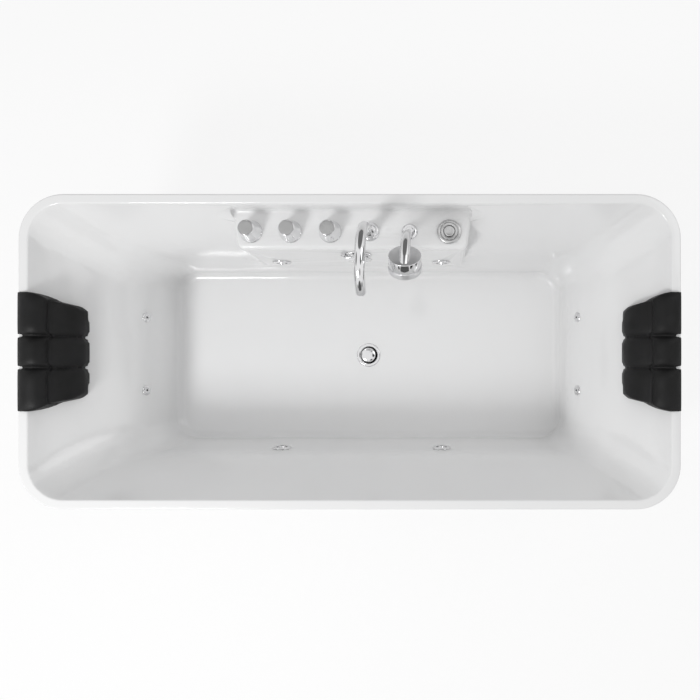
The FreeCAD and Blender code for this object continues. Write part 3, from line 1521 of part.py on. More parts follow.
# ---------------------------------------------------------------- build
def main():
    nodes = {}
    hollow = basin_hollow()
    shell = basin_shell(hollow)

    large = []
    for x in (-JET_X, JET_X):
        for side in (-1, 1):
            large.append(Seat(hollow, V(x, side * DECK_FRONT_Y, JET_Z)))
    small = []
    for side in (-1, 1):
        for y in (-MICRO_Y, MICRO_Y):
            small.append(Seat(hollow, V(side * (WELL_L - WELL_STEPS[4][1]), y, JET_Z)))
    overflow = Seat(hollow, V(0, DECK_FRONT_Y, RIM_Z - OVERFLOW_DEPTH))
    suction = Seat(hollow, V(0, DECK_FRONT_Y, RIM_Z - SUCTION_DEPTH))

    holes = [seat.hole(JET_HOLE_R) for seat in large]
    holes += [seat.hole(MICRO_HOLE_R) for seat in small]
    holes += [overflow.hole(OVERFLOW_HOLE_R), suction.hole(SUCTION_HOLE_R)]
    holes += [DeckSeat(x).hole(SHANK_HOLE_R) for x in DECK_X[:5]]
    holes.append(DeckSeat(CONTROL_X).hole(CONTROL_BODY_R + 1))
    holes.append(disc(DRAIN_SHANK_R + 1, UNDER_Z - 5, FLOOR_Z + 5))
    nodes["basin_shell"] = shell.cut(Part.makeCompound(holes))

    nodes["apron_skirt"] = apron_wall().cut(panel_window(0))
    nodes["access_panel"] = apron_wall().common(panel_window(PANEL_GAP))
    nodes["panel_catches"] = panel_catches()
    nodes["floor_board"] = floor_board()
    nodes["base_frame"] = base_frame()
    pads, screws, nuts = foot_parts()
    nodes["foot_pads"] = pads
    nodes["foot_screws"] = screws
    nodes["foot_nuts"] = nuts
    nodes["apron_brackets"] = apron_brackets()

    taps = (("hot", HOT_X), ("cold", COLD_X), ("diverter", DIVERTER_X))
    for name, x in taps:
        seat = DeckSeat(x)
        nodes[name + "_knob"] = seat.put(knob())
    nodes["escutcheons"] = [DeckSeat(x).put(escutcheon()) for _, x in taps]
    nodes["valve_bodies"] = [DeckSeat(x).put(valve_body()) for _, x in taps]
    nodes["deck_nuts"] = [DeckSeat(x).put(lock_nut(SHANK_R, FLOOR_T)) for x in DECK_X[:5]]
    nodes["deck_nuts"].append(DeckSeat(CONTROL_X).put(lock_nut(CONTROL_BODY_R, FLOOR_T)))
    nodes["mixer_pipes"] = mixer_pipes()
    spout_seat = DeckSeat(SPOUT_X)
    nodes["spout_base"] = spout_seat.put(spout_base())
    nodes["spout"] = spout_seat.put(spout())
    nodes["aerator"] = spout_seat.put(aerator())
    shower = DeckSeat(SHOWER_X)
    nodes["shower_socket"] = shower.put(shower_socket())
    nodes["hand_shower"] = shower.put(leaned(shower_handle()))
    nodes["shower_face"] = shower.put(leaned(shower_face()))
    control = DeckSeat(CONTROL_X)
    nodes["control_body"] = control.put(control_body())
    nodes["air_ring"] = control.put(control_ring())
    nodes["air_button"] = control.put(control_button())

    nodes["drain_flange"] = drain_flange()
    nodes["drain_gasket"] = drain_gasket()
    nodes["waste_body"] = waste_body()
    nodes["plug"] = [plug(), plug_seal()]
    nodes["overflow_bezel"] = overflow.put(overflow_bezel())
    nodes["overflow_knob"] = overflow.put(overflow_knob())
    nodes["overflow_body"] = overflow.put(overflow_body())
    nodes["overflow_pipe"] = overflow_pipe(overflow)
    nodes["suction_cover"] = suction.put(suction_cover())
    nodes["suction_body"] = suction.put(suction_body())
    nodes["waste_nuts"] = [
        overflow.put(lock_nut(OVERFLOW_HOLE_R - 1, WALL + SLIP)),
        suction.put(lock_nut(SUCTION_HOLE_R - 1, WALL + SLIP)),
        drain_nut(),
    ]

    manifolds = Manifolds(large, small)
    nodes["jet_trims"] = [seat.put(jet_trim()) for seat in large]
    for place, seat in zip(("front_left", "back_left", "front_right", "back_right"), large):
        nodes["nozzle_" + place] = seat.put(jet_nozzle())
    bodies = []
    for seat in large:
        bodies.append(joined([seat.put(jet_body()), manifolds.leg(seat, JET_REACH, JET_LEG_R)]))
    nodes["jet_bodies"] = bodies
    nodes["jet_nuts"] = [seat.put(lock_nut(JET_HOLE_R - SLIP, WALL + SLIP)) for seat in large]
    nodes["jet_nuts"] += [seat.put(lock_nut(MICRO_HOLE_R - SLIP, WALL + SLIP)) for seat in small]
    nodes["end_jet_faces"] = [seat.put(micro_face()) for seat in small]
    bodies = []
    for seat in small:
        leg = manifolds.leg(seat, MICRO_REACH, MICRO_LEG_R)
        bodies.append(joined([seat.put(micro_body()), leg]))
    nodes["end_jet_bodies"] = bodies

    pump_at = pump_centre(manifolds)
    outlet_high = VOLUTE_R + PUMP_OUTLET_H + SEAT_GAP
    outlet_top = pump_at + V(-PUMP_OUTLET_OFF, VOLUTE_W / 2, outlet_high)
    nodes["water_manifold"] = manifolds.water(outlet_top)
    tail = V(CONTROL_X, DECK_ROW_Y, DECK_Z - CONTROL_DROP - CONTROL_TAIL_L - SEAT_GAP)
    nodes["air_manifold"] = manifolds.air(tail)
    nodes["pump_volute"] = pump_volute(pump_at)
    nodes["pump_impeller"] = pump_impeller(pump_at)
    nodes["pump_shaft"] = pump_shaft(pump_at)
    nodes["motor_housing"] = motor_housing(pump_at)
    nodes["motor_cap"] = motor_cap(pump_at)
    nodes["motor_fan"] = motor_fan(pump_at)
    nodes["pump_bearer"] = pump_bearer(pump_at)
    nodes["pump_unions"] = pump_unions(pump_at)
    nodes["suction_pipe"] = suction_pipe(suction, pump_at)
    nodes["control_box"] = control_box()

    rest = headrest()
    nodes["headrest_right"] = rest
    nodes["headrest_left"] = mirrored_x(rest)

    os.makedirs("parts", exist_ok=True)
    for name, shape in nodes.items():
        if isinstance(shape, list):
            shape = Part.makeCompound(shape)
        shape.exportStep("parts/" + name + ".step")
    print(len(nodes), "nodes")


main()
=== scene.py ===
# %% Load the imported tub
import json
import math

import bpy
import numpy
from mathutils import Matrix, Vector


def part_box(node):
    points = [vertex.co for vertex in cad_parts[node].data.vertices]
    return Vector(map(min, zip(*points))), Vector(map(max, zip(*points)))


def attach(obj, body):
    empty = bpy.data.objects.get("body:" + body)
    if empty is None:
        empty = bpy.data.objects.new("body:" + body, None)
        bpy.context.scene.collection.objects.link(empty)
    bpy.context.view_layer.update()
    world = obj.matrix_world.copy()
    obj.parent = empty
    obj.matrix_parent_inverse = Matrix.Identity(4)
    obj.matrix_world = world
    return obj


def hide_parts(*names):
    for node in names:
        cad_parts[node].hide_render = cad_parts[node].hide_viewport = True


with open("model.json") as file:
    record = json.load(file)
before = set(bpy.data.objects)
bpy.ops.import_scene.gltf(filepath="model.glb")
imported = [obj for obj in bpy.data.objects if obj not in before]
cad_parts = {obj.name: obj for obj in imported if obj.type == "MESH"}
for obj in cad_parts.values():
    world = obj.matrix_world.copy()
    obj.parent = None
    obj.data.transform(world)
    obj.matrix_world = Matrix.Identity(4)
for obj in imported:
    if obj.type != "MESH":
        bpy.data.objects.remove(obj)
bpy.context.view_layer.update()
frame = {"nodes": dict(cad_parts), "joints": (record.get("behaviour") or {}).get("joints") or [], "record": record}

nodes = frame["nodes"]
joints = {joint["name"]: joint for joint in frame["joints"]}

# %% [markdown]
# A jetted bathtub photographed from straight above. The frame holds every piece at its real size in
# metres: floor at z = 0, the tub's length along X, the tap deck on the +Y side. The pieces that show
# are modelled again with smoother surfaces, and every piece gets a finish made from nodes.
#
# First come small helpers that are used all the way through. An operator works on whatever is
# selected, so each piece starts by clearing the selection.

# %% Helpers for selecting and placing
MM = 0.001
rim_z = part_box("basin_shell")[1].z


def clear_selection():
    for each in list(bpy.context.selected_objects):
        each.select_set(False)
    bpy.context.view_layer.objects.active = None


def only(piece):
    """Selects one piece and makes it the active one."""
    clear_selection()
    piece.select_set(True)
    bpy.context.view_layer.objects.active = piece
    return piece


def apply_place(piece):
    """Moves the object's place into its mesh, so that the object sits unturned at the origin."""
    only(piece)
    bpy.ops.object.transform_apply(location=True, rotation=True, scale=True)
    return piece


def stand(piece, foot, axis=(0, 0, 1)):
    """Stands a piece made along Z at a point, with its Z along an axis."""
    turn = Vector((0, 0, 1)).rotation_difference(Vector(axis))
    piece.matrix_world = Matrix.Translation(foot) @ turn.to_matrix().to_4x4() @ piece.matrix_world
    return apply_place(piece)


def apply_modifiers(piece):
    only(piece)
    for modifier in list(piece.modifiers):
        bpy.ops.object.modifier_apply(modifier=modifier.name)
    return piece


def smooth(piece, degrees=35):
    only(piece)
    bpy.ops.object.shade_smooth_by_angle(angle=math.radians(degrees))
    return piece


def box_middle(node):
    low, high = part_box(node)
    return (low + high) / 2


# %% [markdown]
# Camera. The photo was taken from straight above, but not from over the tub's middle: the left end
# wall shows wide and the right one narrow. So the camera stands over the point that the walls lean
# away from, looks straight down, and the lens is shifted to bring the tub back into the picture.

# %% Camera
# PIXEL values are measured in the photo, whose frame is 700 by 700. The sensor is in millimetres and
# the rest in metres.
PHOTO_PIXELS = 700
TUB_LENGTH = 1.700
TUB_LENGTH_PIXELS = 663.7
CAMERA_HEIGHT = 1.6
CAMERA_X = 0.232
CAMERA_Y = -0.040
MIDDLE_PIXEL_X = 349.55
MIDDLE_PIXEL_Y = 351.7
SENSOR = 36.0

pixel = TUB_LENGTH / TUB_LENGTH_PIXELS
view_width = PHOTO_PIXELS * pixel
camera_data = bpy.data.cameras.new("photo_camera")
camera_data.sensor_width = SENSOR
camera_data.lens = SENSOR * CAMERA_HEIGHT / view_width
camera_data.shift_x = ((PHOTO_PIXELS / 2 - MIDDLE_PIXEL_X) * pixel - CAMERA_X) / view_width
camera_data.shift_y = ((MIDDLE_PIXEL_Y - PHOTO_PIXELS / 2) * pixel - CAMERA_Y) / view_width
camera = bpy.data.objects.new("photo_camera", camera_data)
bpy.context.scene.collection.objects.link(camera)
camera.location = (CAMERA_X, CAMERA_Y, rim_z + CAMERA_HEIGHT)
bpy.context.scene.camera = camera
shift = [round(value, 4) for value in (camera_data.shift_x, camera_data.shift_y)]
print("lens", round(camera_data.lens, 2), "shift", shift)

# %% [markdown]
# Studio. A pale floor, a large soft lamp from the front left that throws the taps' shadows to the
# back right, a weaker one opposite, and a bright world that fills the rest. The camera sees the floor
# nearly white. Metal needs something dark to mirror, or it looks like plaster. A photographer hangs
# black flags round the set for that, so the world that metal mirrors is bright with dark flags in a
# few directions: three low in front, one low at the right, one part way up on each side, two high up,
# in front and at the right, and a wide one behind.

# %% Studio floor
FLOOR_SIZE = 60
FLOOR_DROP = 0.0005
FLOOR_GREY = 0.92
FLOOR_GLOW = 0.80
bpy.ops.mesh.primitive_plane_add(size=FLOOR_SIZE, location=(0, 0, -FLOOR_DROP))
studio_floor = bpy.context.object
studio_floor.name = "studio_floor"

floor_paint = bpy.data.materials.new("studio_floor")
floor_paint.use_nodes = True
tree = floor_paint.node_tree
tree.nodes.clear()
output = tree.nodes.new("ShaderNodeOutputMaterial")
paint = tree.nodes.new("ShaderNodeBsdfDiffuse")
paint.inputs["Color"].default_value = (FLOOR_GREY, FLOOR_GREY, FLOOR_GREY, 1)
glow = tree.nodes.new("ShaderNodeEmission")
glow.inputs["Color"].default_value = (1, 1, 1, 1)
glow.inputs["Strength"].default_value = 1.0
seen = tree.nodes.new("ShaderNodeLightPath")
share = tree.nodes.new("ShaderNodeMath")
share.operation = "MULTIPLY"
share.inputs[1].default_value = FLOOR_GLOW
mix = tree.nodes.new("ShaderNodeMixShader")
tree.links.new(seen.outputs["Is Camera Ray"], share.inputs[0])
tree.links.new(share.outputs[0], mix.inputs["Fac"])
tree.links.new(paint.outputs[0], mix.inputs[1])
tree.links.new(glow.outputs[0], mix.inputs[2])
tree.links.new(mix.outputs[0], output.inputs["Surface"])
studio_floor.data.materials.append(floor_paint)
print("floor", FLOOR_SIZE, "m square")

# %% Studio world
SKY = 0.93
SOFT_LIGHT = 0.62
# Each flag: the direction it hangs in, how far it reaches to each side in degrees, and its grey.
FLAGS = (
    ((0.0, -1.0, 0.12), 25, 0.10),
    ((0.62, -0.78, 0.08), 8, 0.02),
    ((-0.55, -0.83, 0.10), 5, 0.05),
    ((0.97, 0.20, 0.10), 12, 0.03),
    ((0.86, 0.10, 0.50), 10, 0.10),
    ((0.50, 0.0, 0.86), 13, 0.06),
    ((-0.90, 0.10, 0.42), 13, 0.07),
    ((0.0, 1.0, 0.45), 38, 0.16),
    ((0.25, -0.55, 0.80), 9, 0.12),
)
FLAG_EDGE = 3.0

world = bpy.data.worlds.new("studio")
bpy.context.scene.world = world
world.use_nodes = True
tree = world.node_tree
tree.nodes.clear()
output = tree.nodes.new("ShaderNodeOutputWorld")
soft = tree.nodes.new("ShaderNodeBackground")
soft.inputs["Color"].default_value = (1, 1, 1, 1)
soft.inputs["Strength"].default_value = SOFT_LIGHT
plain = tree.nodes.new("ShaderNodeBackground")
plain.inputs["Color"].default_value = (1, 1, 1, 1)
plain.inputs["Strength"].default_value = 1.0
mirrored = tree.nodes.new("ShaderNodeBackground")
where = tree.nodes.new("ShaderNodeTexCoord")


def add_flag(below, direction, reach, grey):
    """Mixes a round flag with soft edges over what is below it, and returns the new colour."""
    along = tree.nodes.new("ShaderNodeVectorMath")
    along.operation = "DOT_PRODUCT"
    along.inputs[1].default_value = Vector(direction).normalized()
    edge = tree.nodes.new("ShaderNodeMapRange")
    edge.interpolation_type = "SMOOTHSTEP"
    edge.inputs["From Min"].default_value = math.cos(math.radians(reach + FLAG_EDGE))
    edge.inputs["From Max"].default_value = math.cos(math.radians(reach - FLAG_EDGE))
    over = tree.nodes.new("ShaderNodeMix")
    over.data_type = "RGBA"
    over.inputs[7].default_value = (grey, grey, grey, 1)
    tree.links.new(where.outputs["Generated"], along.inputs[0])
    tree.links.new(along.outputs["Value"], edge.inputs["Value"])
    tree.links.new(edge.outputs["Result"], over.inputs[0])
    tree.links.new(below, over.inputs[6])
    return over.outputs[2]


sky = tree.nodes.new("ShaderNodeRGB")
sky.outputs[0].default_value = (SKY, SKY, SKY, 1)
seen_by_metal = sky.outputs[0]
for direction, reach, grey in FLAGS:
    seen_by_metal = add_flag(seen_by_metal, direction, reach, grey)
ray = tree.nodes.new("ShaderNodeLightPath")
to_metal = tree.nodes.new("ShaderNodeMixShader")
to_camera = tree.nodes.new("ShaderNodeMixShader")
tree.links.new(seen_by_metal, mirrored.inputs["Color"])
tree.links.new(ray.outputs["Is Glossy Ray"], to_metal.inputs["Fac"])
tree.links.new(soft.outputs[0], to_metal.inputs[1])
tree.links.new(mirrored.outputs[0], to_metal.inputs[2])
tree.links.new(ray.outputs["Is Camera Ray"], to_camera.inputs["Fac"])
tree.links.new(to_metal.outputs[0], to_camera.inputs[1])
tree.links.new(plain.outputs[0], to_camera.inputs[2])
tree.links.new(to_camera.outputs[0], output.inputs["Surface"])
print(len(FLAGS), "flags")


# %% Studio lamps
def lamp(name, place, aim, size, watts):
    data = bpy.data.lights.new(name, "AREA")
    data.shape = "DISK"
    data.size = size
    data.energy = watts
    bulb = bpy.data.objects.new(name, data)
    bulb.location = place
    bulb.rotation_euler = (Vector(aim) - Vector(place)).to_track_quat("-Z", "Y").to_euler()
    bpy.context.scene.collection.objects.link(bulb)
    return bulb


key = lamp("key_lamp", place=(-1.5, -1.6, 2.7), aim=(0.1, 0.1, 0.4), size=0.9, watts=38)
fill = lamp("fill_lamp", place=(2.2, 0.9, 2.6), aim=(0, 0, 0.4), size=1.6, watts=8)
bpy.context.scene.view_settings.view_transform = "Standard"
print("lamps of", key.data.energy, "and", fill.data.energy, "watts")

# %% [markdown]
# Finishes. Each one is a Principled shader with a little uneven roughness, and all but the zinc-coated
# steel get a faint bump, so that no surface is a single flat colour. Patterns read Object coordinates,
# which are metres here, so a scale of 100 gives features of about a centimetre.


# %% Finish helpers
class Finish:
    """A material with a Principled shader and short calls for its noise, bump and colour."""

    def __init__(self, name, colour, roughness, metallic=0.0):
        self.material = bpy.data.materials.new(name)
        self.material.use_nodes = True
        self.tree = self.material.node_tree
        self.shader = self.tree.nodes["Principled BSDF"]
        self.shader.inputs["Base Color"].default_value = (*colour, 1)
        self.shader.inputs["Roughness"].default_value = roughness
        self.shader.inputs["Metallic"].default_value = metallic
        self.place = self.tree.nodes.new("ShaderNodeTexCoord").outputs["Object"]
        self.bump_from = None

    def noise(self, scale, detail=3.0, stretch=(1, 1, 1)):
        mapping = self.tree.nodes.new("ShaderNodeMapping")
        mapping.inputs["Scale"].default_value = stretch
        texture = self.tree.nodes.new("ShaderNodeTexNoise")
        texture.inputs["Scale"].default_value = scale
        texture.inputs["Detail"].default_value = detail
        self.tree.links.new(self.place, mapping.inputs["Vector"])
        self.tree.links.new(mapping.outputs[0], texture.inputs["Vector"])
        return texture.outputs["Fac"]

    def cells(self, scale, feature="F1"):
        texture = self.tree.nodes.new("ShaderNodeTexVoronoi")
        texture.feature = feature
        texture.inputs["Scale"].default_value = scale
        self.tree.links.new(self.place, texture.inputs["Vector"])
        return texture

    def ramp(self, factor, low, high, start=0.3, end=0.7):
        """Turns a 0 to 1 pattern into a colour, or a grey where low and high are numbers."""
        node = self.tree.nodes.new("ShaderNodeValToRGB")
        for element, position, value in zip(node.color_ramp.elements, (start, end), (low, high)):
            element.position = position
            colour = value if isinstance(value, tuple) else (value, value, value)
            element.color = (*colour, 1)
        self.tree.links.new(factor, node.inputs["Fac"])
        return node.outputs["Color"]

    def set(self, socket, value):
        self.tree.links.new(value, self.shader.inputs[socket])
        return self

    def bump(self, height, strength, distance):
        node = self.tree.nodes.new("ShaderNodeBump")
        node.inputs["Strength"].default_value = strength
        node.inputs["Distance"].default_value = distance
        self.tree.links.new(height, node.inputs["Height"])
        if self.bump_from is not None:
            self.tree.links.new(self.bump_from, node.inputs["Normal"])
        self.bump_from = node.outputs["Normal"]
        return self.set("Normal", self.bump_from)


# %% [markdown]
# White acrylic. It is vacuum-formed sheet: very even, glossy, with a faint orange-peel waviness that
# breaks up long reflections, and a slightly uneven gloss from wiping.


# %% White acrylic
def white_acrylic():
    finish = Finish("white_acrylic", (0.84, 0.84, 0.84), 0.12)
    finish.set("Base Color", finish.ramp(finish.noise(2.5), (0.835, 0.837, 0.84), (0.85, 0.85, 0.85)))
    finish.set("Roughness", finish.ramp(finish.noise(9, 5), 0.09, 0.16))
    finish.bump(finish.noise(55, 1), 0.05, 0.0006)
    finish.shader.inputs["Specular IOR Level"].default_value = 0.5
    finish.shader.inputs["Coat Weight"].default_value = 0.25
    finish.shader.inputs["Coat Roughness"].default_value = 0.04
    return finish.material


# %% [markdown]
# Chrome. Plated brass is nearly white metal with an almost perfect mirror. Fine smears in the
# roughness keep it from looking computed.


# %% Chrome
def bright_chrome():
    finish = Finish("bright_chrome", (0.80, 0.80, 0.81), 0.06, 1.0)
    finish.set("Base Color", finish.ramp(finish.noise(30, 2), (0.78, 0.78, 0.79), (0.82, 0.82, 0.825)))
    finish.set("Roughness", finish.ramp(finish.noise(60, 4), 0.035, 0.085))
    finish.bump(finish.noise(90, 1), 0.03, 0.0002)
    return finish.material


def satin_chrome(name, centre, grey):
    """Satin metal of one grey, with fine turning rings round an upright axis at centre."""
    finish = Finish(name, (grey, grey, grey), 0.3, 1.0)
    mapping = finish.tree.nodes.new("ShaderNodeMapping")
    mapping.inputs["Location"].default_value = [-value for value in centre]
    rings = finish.tree.nodes.new("ShaderNodeTexWave")
    rings.wave_type = "RINGS"
    rings.rings_direction = "Z"
    rings.inputs["Scale"].default_value = 420
    rings.inputs["Distortion"].default_value = 0.6
    finish.tree.links.new(finish.place, mapping.inputs["Vector"])
    finish.tree.links.new(mapping.outputs[0], rings.inputs["Vector"])
    finish.set("Base Color", finish.ramp(finish.noise(60, 3), 0.93 * grey, 1.07 * grey))
    finish.set("Roughness", finish.ramp(rings.outputs["Fac"], 0.26, 0.38))
    finish.bump(rings.outputs["Fac"], 0.10, 0.0001)
    return finish.material


# %% [markdown]
# Headrest foam. Self-skinned foam is matte black with a leather-like grain from its mould, a little
# smoother where it is rubbed.


# %% Headrest foam
def black_foam():
    finish = Finish("black_foam", (0.008, 0.008, 0.008), 0.5)
    finish.shader.inputs["Specular IOR Level"].default_value = 0.22
    finish.set("Base Color", finish.ramp(finish.noise(14, 4), (0.006, 0.006, 0.006), (0.011, 0.011, 0.0115)))
    finish.set("Roughness", finish.ramp(finish.noise(22, 3), 0.42, 0.58))
    grain = finish.cells(520, "DISTANCE_TO_EDGE")
    finish.bump(finish.ramp(grain.outputs["Distance"], 0.0, 1.0, 0.0, 0.12), 0.25, 0.0003)
    finish.bump(finish.noise(120, 2), 0.08, 0.0005)
    return finish.material


# %% [markdown]
# The parts under the tub: zinc-coated steel with its pale crystals, raw particle board, white pipe,
# moulded plastic, brass, rubber, cast aluminium and bright steel.


# %% Finishes under the tub
def zinc_steel():
    finish = Finish("zinc_steel", (0.5, 0.51, 0.52), 0.42, 0.85)
    crystals = finish.cells(70)
    finish.set("Base Color", finish.ramp(crystals.outputs["Color"], (0.42, 0.43, 0.44), (0.60, 0.61, 0.62)))
    finish.set("Roughness", finish.ramp(finish.noise(40, 3), 0.34, 0.52))
    return finish.material


def particle_board():
    finish = Finish("particle_board", (0.55, 0.42, 0.28), 0.8)
    chips = finish.cells(260)
    dark_chip, pale_chip = (0.36, 0.25, 0.15), (0.66, 0.53, 0.37)
    finish.set("Base Color", finish.ramp(chips.outputs["Color"], dark_chip, pale_chip, 0.1, 0.9))
    finish.set("Roughness", finish.ramp(finish.noise(90, 3), 0.7, 0.9))
    finish.bump(chips.outputs["Distance"], 0.3, 0.0008)
    return finish.material


def moulded(name, colour, roughness, grain=180):
    """Moulded plastic with a faint grain and uneven gloss."""
    finish = Finish(name, colour, roughness)
    darker = tuple(0.93 * part for part in colour)
    finish.set("Base Color", finish.ramp(finish.noise(12, 3), darker, colour))
    finish.set("Roughness", finish.ramp(finish.noise(35, 4), 0.85 * roughness, min(1.0, 1.15 * roughness)))
    finish.bump(finish.noise(grain, 2), 0.06, 0.0004)
    return finish.material


def bare_metal(name, colour, roughness, grain=(1, 1, 8)):
    finish = Finish(name, colour, roughness, 1.0)
    darker = tuple(0.82 * part for part in colour)
    finish.set("Base Color", finish.ramp(finish.noise(25, 4), darker, colour))
    finish.set("Roughness", finish.ramp(finish.noise(120, 3, grain), 0.75 * roughness, 1.3 * roughness))
    finish.bump(finish.noise(300, 2, grain), 0.08, 0.0002)
    return finish.material


acrylic = white_acrylic()
chrome = bright_chrome()
foam = black_foam()
CONTROL_GREY = 0.60
CAP_GREY = 0.44
SLOT_FINISH = {
    "acrylic": acrylic,
    "chrome": chrome,
    "satin_chrome": satin_chrome("satin_control", box_middle("control_body"), CONTROL_GREY),
    "headrest": foam,
    "galvanised": zinc_steel(),
    "board": particle_board(),
    "pipe": moulded("white_pipe", (0.80, 0.80, 0.78), 0.45),
    "fitting": moulded("white_fitting", (0.74, 0.74, 0.73), 0.5, 90),
    "dark_plastic": moulded("black_plastic", (0.03, 0.03, 0.032), 0.5, 240),
    "brass": bare_metal("raw_brass", (0.72, 0.55, 0.26), 0.3),
    "seal": moulded("black_rubber", (0.02, 0.02, 0.02), 0.75, 300),
    "motor": bare_metal("cast_aluminium", (0.55, 0.56, 0.58), 0.45, (1, 1, 1)),
    "steel": bare_metal("bright_steel", (0.60, 0.60, 0.61), 0.28),
}
print(len(SLOT_FINISH), "finishes")

# %% [markdown]
# Each piece of the frame names its finish in the record. The frame's meshes are loose triangles, so
# they only get smooth shading inside each face, and their shape stays as it is.

# %% Finishes on the frame's pieces
slots = {part["node"]: part["material_slot"] for part in frame["record"]["subparts"]}
for name, piece in nodes.items():
    piece.data.materials.clear()
    piece.data.materials.append(SLOT_FINISH[slots[name]])
    piece.data.polygons.foreach_set("use_smooth", [True] * len(piece.data.polygons))
print(len(slots), "pieces have their finish")

# %% [markdown]
# Most of what shows is turned on a lathe: taps, rings, jets, the waste. Such a piece starts as a
# circle. Each step of its outline extrudes the circle and scales it to the next radius, as one would
# by hand. A narrow bevel then catches light on the edges, and shading is smooth across all but them.


# %% Helpers for turned pieces
WELD = 0.01
FRAME_WELD = 0.004


def edges_softened(piece, width, limit=24):
    """Bevels the sharp edges of a piece by so many millimetres and shades the rest smooth."""
    bevel = piece.modifiers.new("edges", "BEVEL")
    bevel.width = width * MM
    bevel.segments = 2
    bevel.limit_method = "ANGLE"
    bevel.angle_limit = math.radians(limit)
    apply_modifiers(piece)
    return smooth(piece)


def turned(name, outline, hollow=False, segments=96, bevel=0.3):
    """A round piece along Z from (radius, height) steps in millimetres.

    A hollow outline comes back to its first step and leaves a bore; any other ends in a flat cap.
    """
    radius, height = outline[0]
    clear_selection()
    bpy.ops.mesh.primitive_circle_add(
        vertices=segments, radius=radius * MM, fill_type="NOTHING" if hollow else "NGON"
    )
    piece = bpy.context.object
    piece.name = name
    bpy.ops.object.mode_set(mode="EDIT")
    bpy.ops.mesh.select_all(action="SELECT")
    bpy.ops.transform.translate(value=(0, 0, height * MM))
    steps = outline[1:] + outline[:1] if hollow else outline[1:]
    for next_radius, next_height in steps:
        lift = (0, 0, (next_height - height) * MM)
        bpy.ops.mesh.extrude_region_move(TRANSFORM_OT_translate={"value": lift})
        wider = next_radius / radius
        bpy.ops.transform.resize(value=(wider, wider, 1), center_override=(0, 0, 0))
        radius, height = next_radius, next_height
    bpy.ops.mesh.select_all(action="SELECT")
    bpy.ops.mesh.remove_doubles(threshold=WELD * MM)
    bpy.ops.mesh.normals_make_consistent(inside=False)
    bpy.ops.object.mode_set(mode="OBJECT")
    return edges_softened(piece, bevel)


def fitted(piece, body, slot, finish, *replaced):
    """Gives a finished piece its finish and its body, and hides the frame's pieces that it stands for."""
    piece.data.materials.clear()
    piece.data.materials.append(finish)
    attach(piece, body)
    if replaced:
        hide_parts(*replaced)
    return piece


def joined(name, pieces):
    """One object made of several."""
    clear_selection()
    for piece in pieces:
        piece.select_set(True)
    bpy.context.view_layer.objects.active = pieces[0]
    if len(pieces) > 1:
        bpy.ops.object.join()
    pieces[0].name = name
    return pieces[0]


def copied(name, model):
    """A copy of a piece, with a mesh of its own."""
    copy = bpy.data.objects.new(name, model.data.copy())
    bpy.context.scene.collection.objects.link(copy)
    return copy


def merged(node, degrees=30):
    """A copy of a frame piece with its loose triangles joined, shaded smooth but for its edges."""
    piece = only(copied("smooth_" + node, nodes[node]))
    bpy.ops.object.mode_set(mode="EDIT")
    bpy.ops.mesh.select_all(action="SELECT")
    bpy.ops.mesh.remove_doubles(threshold=FRAME_WELD * MM)
    bpy.ops.object.mode_set(mode="OBJECT")
    return smooth(piece, degrees)


def seat_of(joint):
    return Vector(joints[joint]["pos_m"])


# %% [markdown]
# The basin. Its walls, coves and deck are one sheet, so light has to run over their joins without a
# break. The frame's basin has the right shape, and a merged copy of it is shaded across the joins.
# Its flat floor is a fan of long thin triangles that would pull the shading askew, so the normals
# are weighted by the size of each face.

# %% Basin
SHARP_FROM = 28
AREA_WEIGHT = 100

basin = merged("basin_shell", SHARP_FROM)
basin.name = "basin"
even_light = basin.modifiers.new("even_light", "WEIGHTED_NORMAL")
even_light.mode = "FACE_AREA"
even_light.weight = AREA_WEIGHT
even_light.keep_sharp = True
apply_modifiers(basin)
fitted(basin, "tub", "acrylic", acrylic, "basin_shell")
print("basin", len(basin.data.polygons), "faces")

# %% [markdown]
# Tap handles. Each is a plated body that flares down to a wide foot, with a satin disc let into its
# top. The disc is a piece of its own, because its finish differs and a fine dark gap runs round it.
# Body, disc and the plate under them are modelled once, at the origin, and copied to the three seats.

# %% Tap handles
KNOB_LOW = 5.6
KNOB_HIGH = 51.6
KNOB_OUTLINE = (
    (4.9, -30.0),
    (4.9, KNOB_LOW),
    (27.2, KNOB_LOW),
    (28.2, 6.2),
    (28.5, 7.4),
    (28.3, 10.2),
    (27.0, 14.4),
    (25.9, 18.6),
    (24.6, 24.0),
    (23.3, 30.6),
    (22.3, 37.0),
    (21.6, 43.0),
    (21.0, 48.6),
    (20.6, 50.4),
    (19.7, 51.2),
    (18.9, 51.2),
    (18.7, 50.2),
)
CAP_OUTLINE = ((18.2, 50.0), (18.2, 51.1), (17.6, KNOB_HIGH), (9.0, KNOB_HIGH), (1.0, KNOB_HIGH))
PLATE_OUTLINE = (
    (15.4, 0.0),
    (30.0, 0.0),
    (30.0, 1.8),
    (29.4, 2.9),
    (28.0, 4.7),
    (26.6, 5.0),
    (15.4, 5.0),
)

handle_model = turned("handle_model", KNOB_OUTLINE)
cap_model = turned("cap_model", CAP_OUTLINE, bevel=0.15)
plate_model = turned("plate_model", PLATE_OUTLINE, hollow=True)
plates = []
for tap in ("hot", "cold", "diverter"):
    seat = seat_of(tap + "_turn")
    handle = stand(copied(tap + "_handle", handle_model), seat)
    fitted(handle, tap + "_tap", "chrome", chrome, tap + "_knob")
    cap = stand(copied(tap + "_cap", cap_model), seat)
    fitted(cap, tap + "_tap", "chrome", satin_chrome("satin_" + tap, seat, CAP_GREY))
    plates.append(stand(copied(tap + "_plate", plate_model), seat))
for model in (handle_model, cap_model, plate_model):
    bpy.data.objects.remove(model)
fitted(joined("tap_plates", plates), "tub", "chrome", chrome, "escutcheons")
print("tap handles", len(plates))

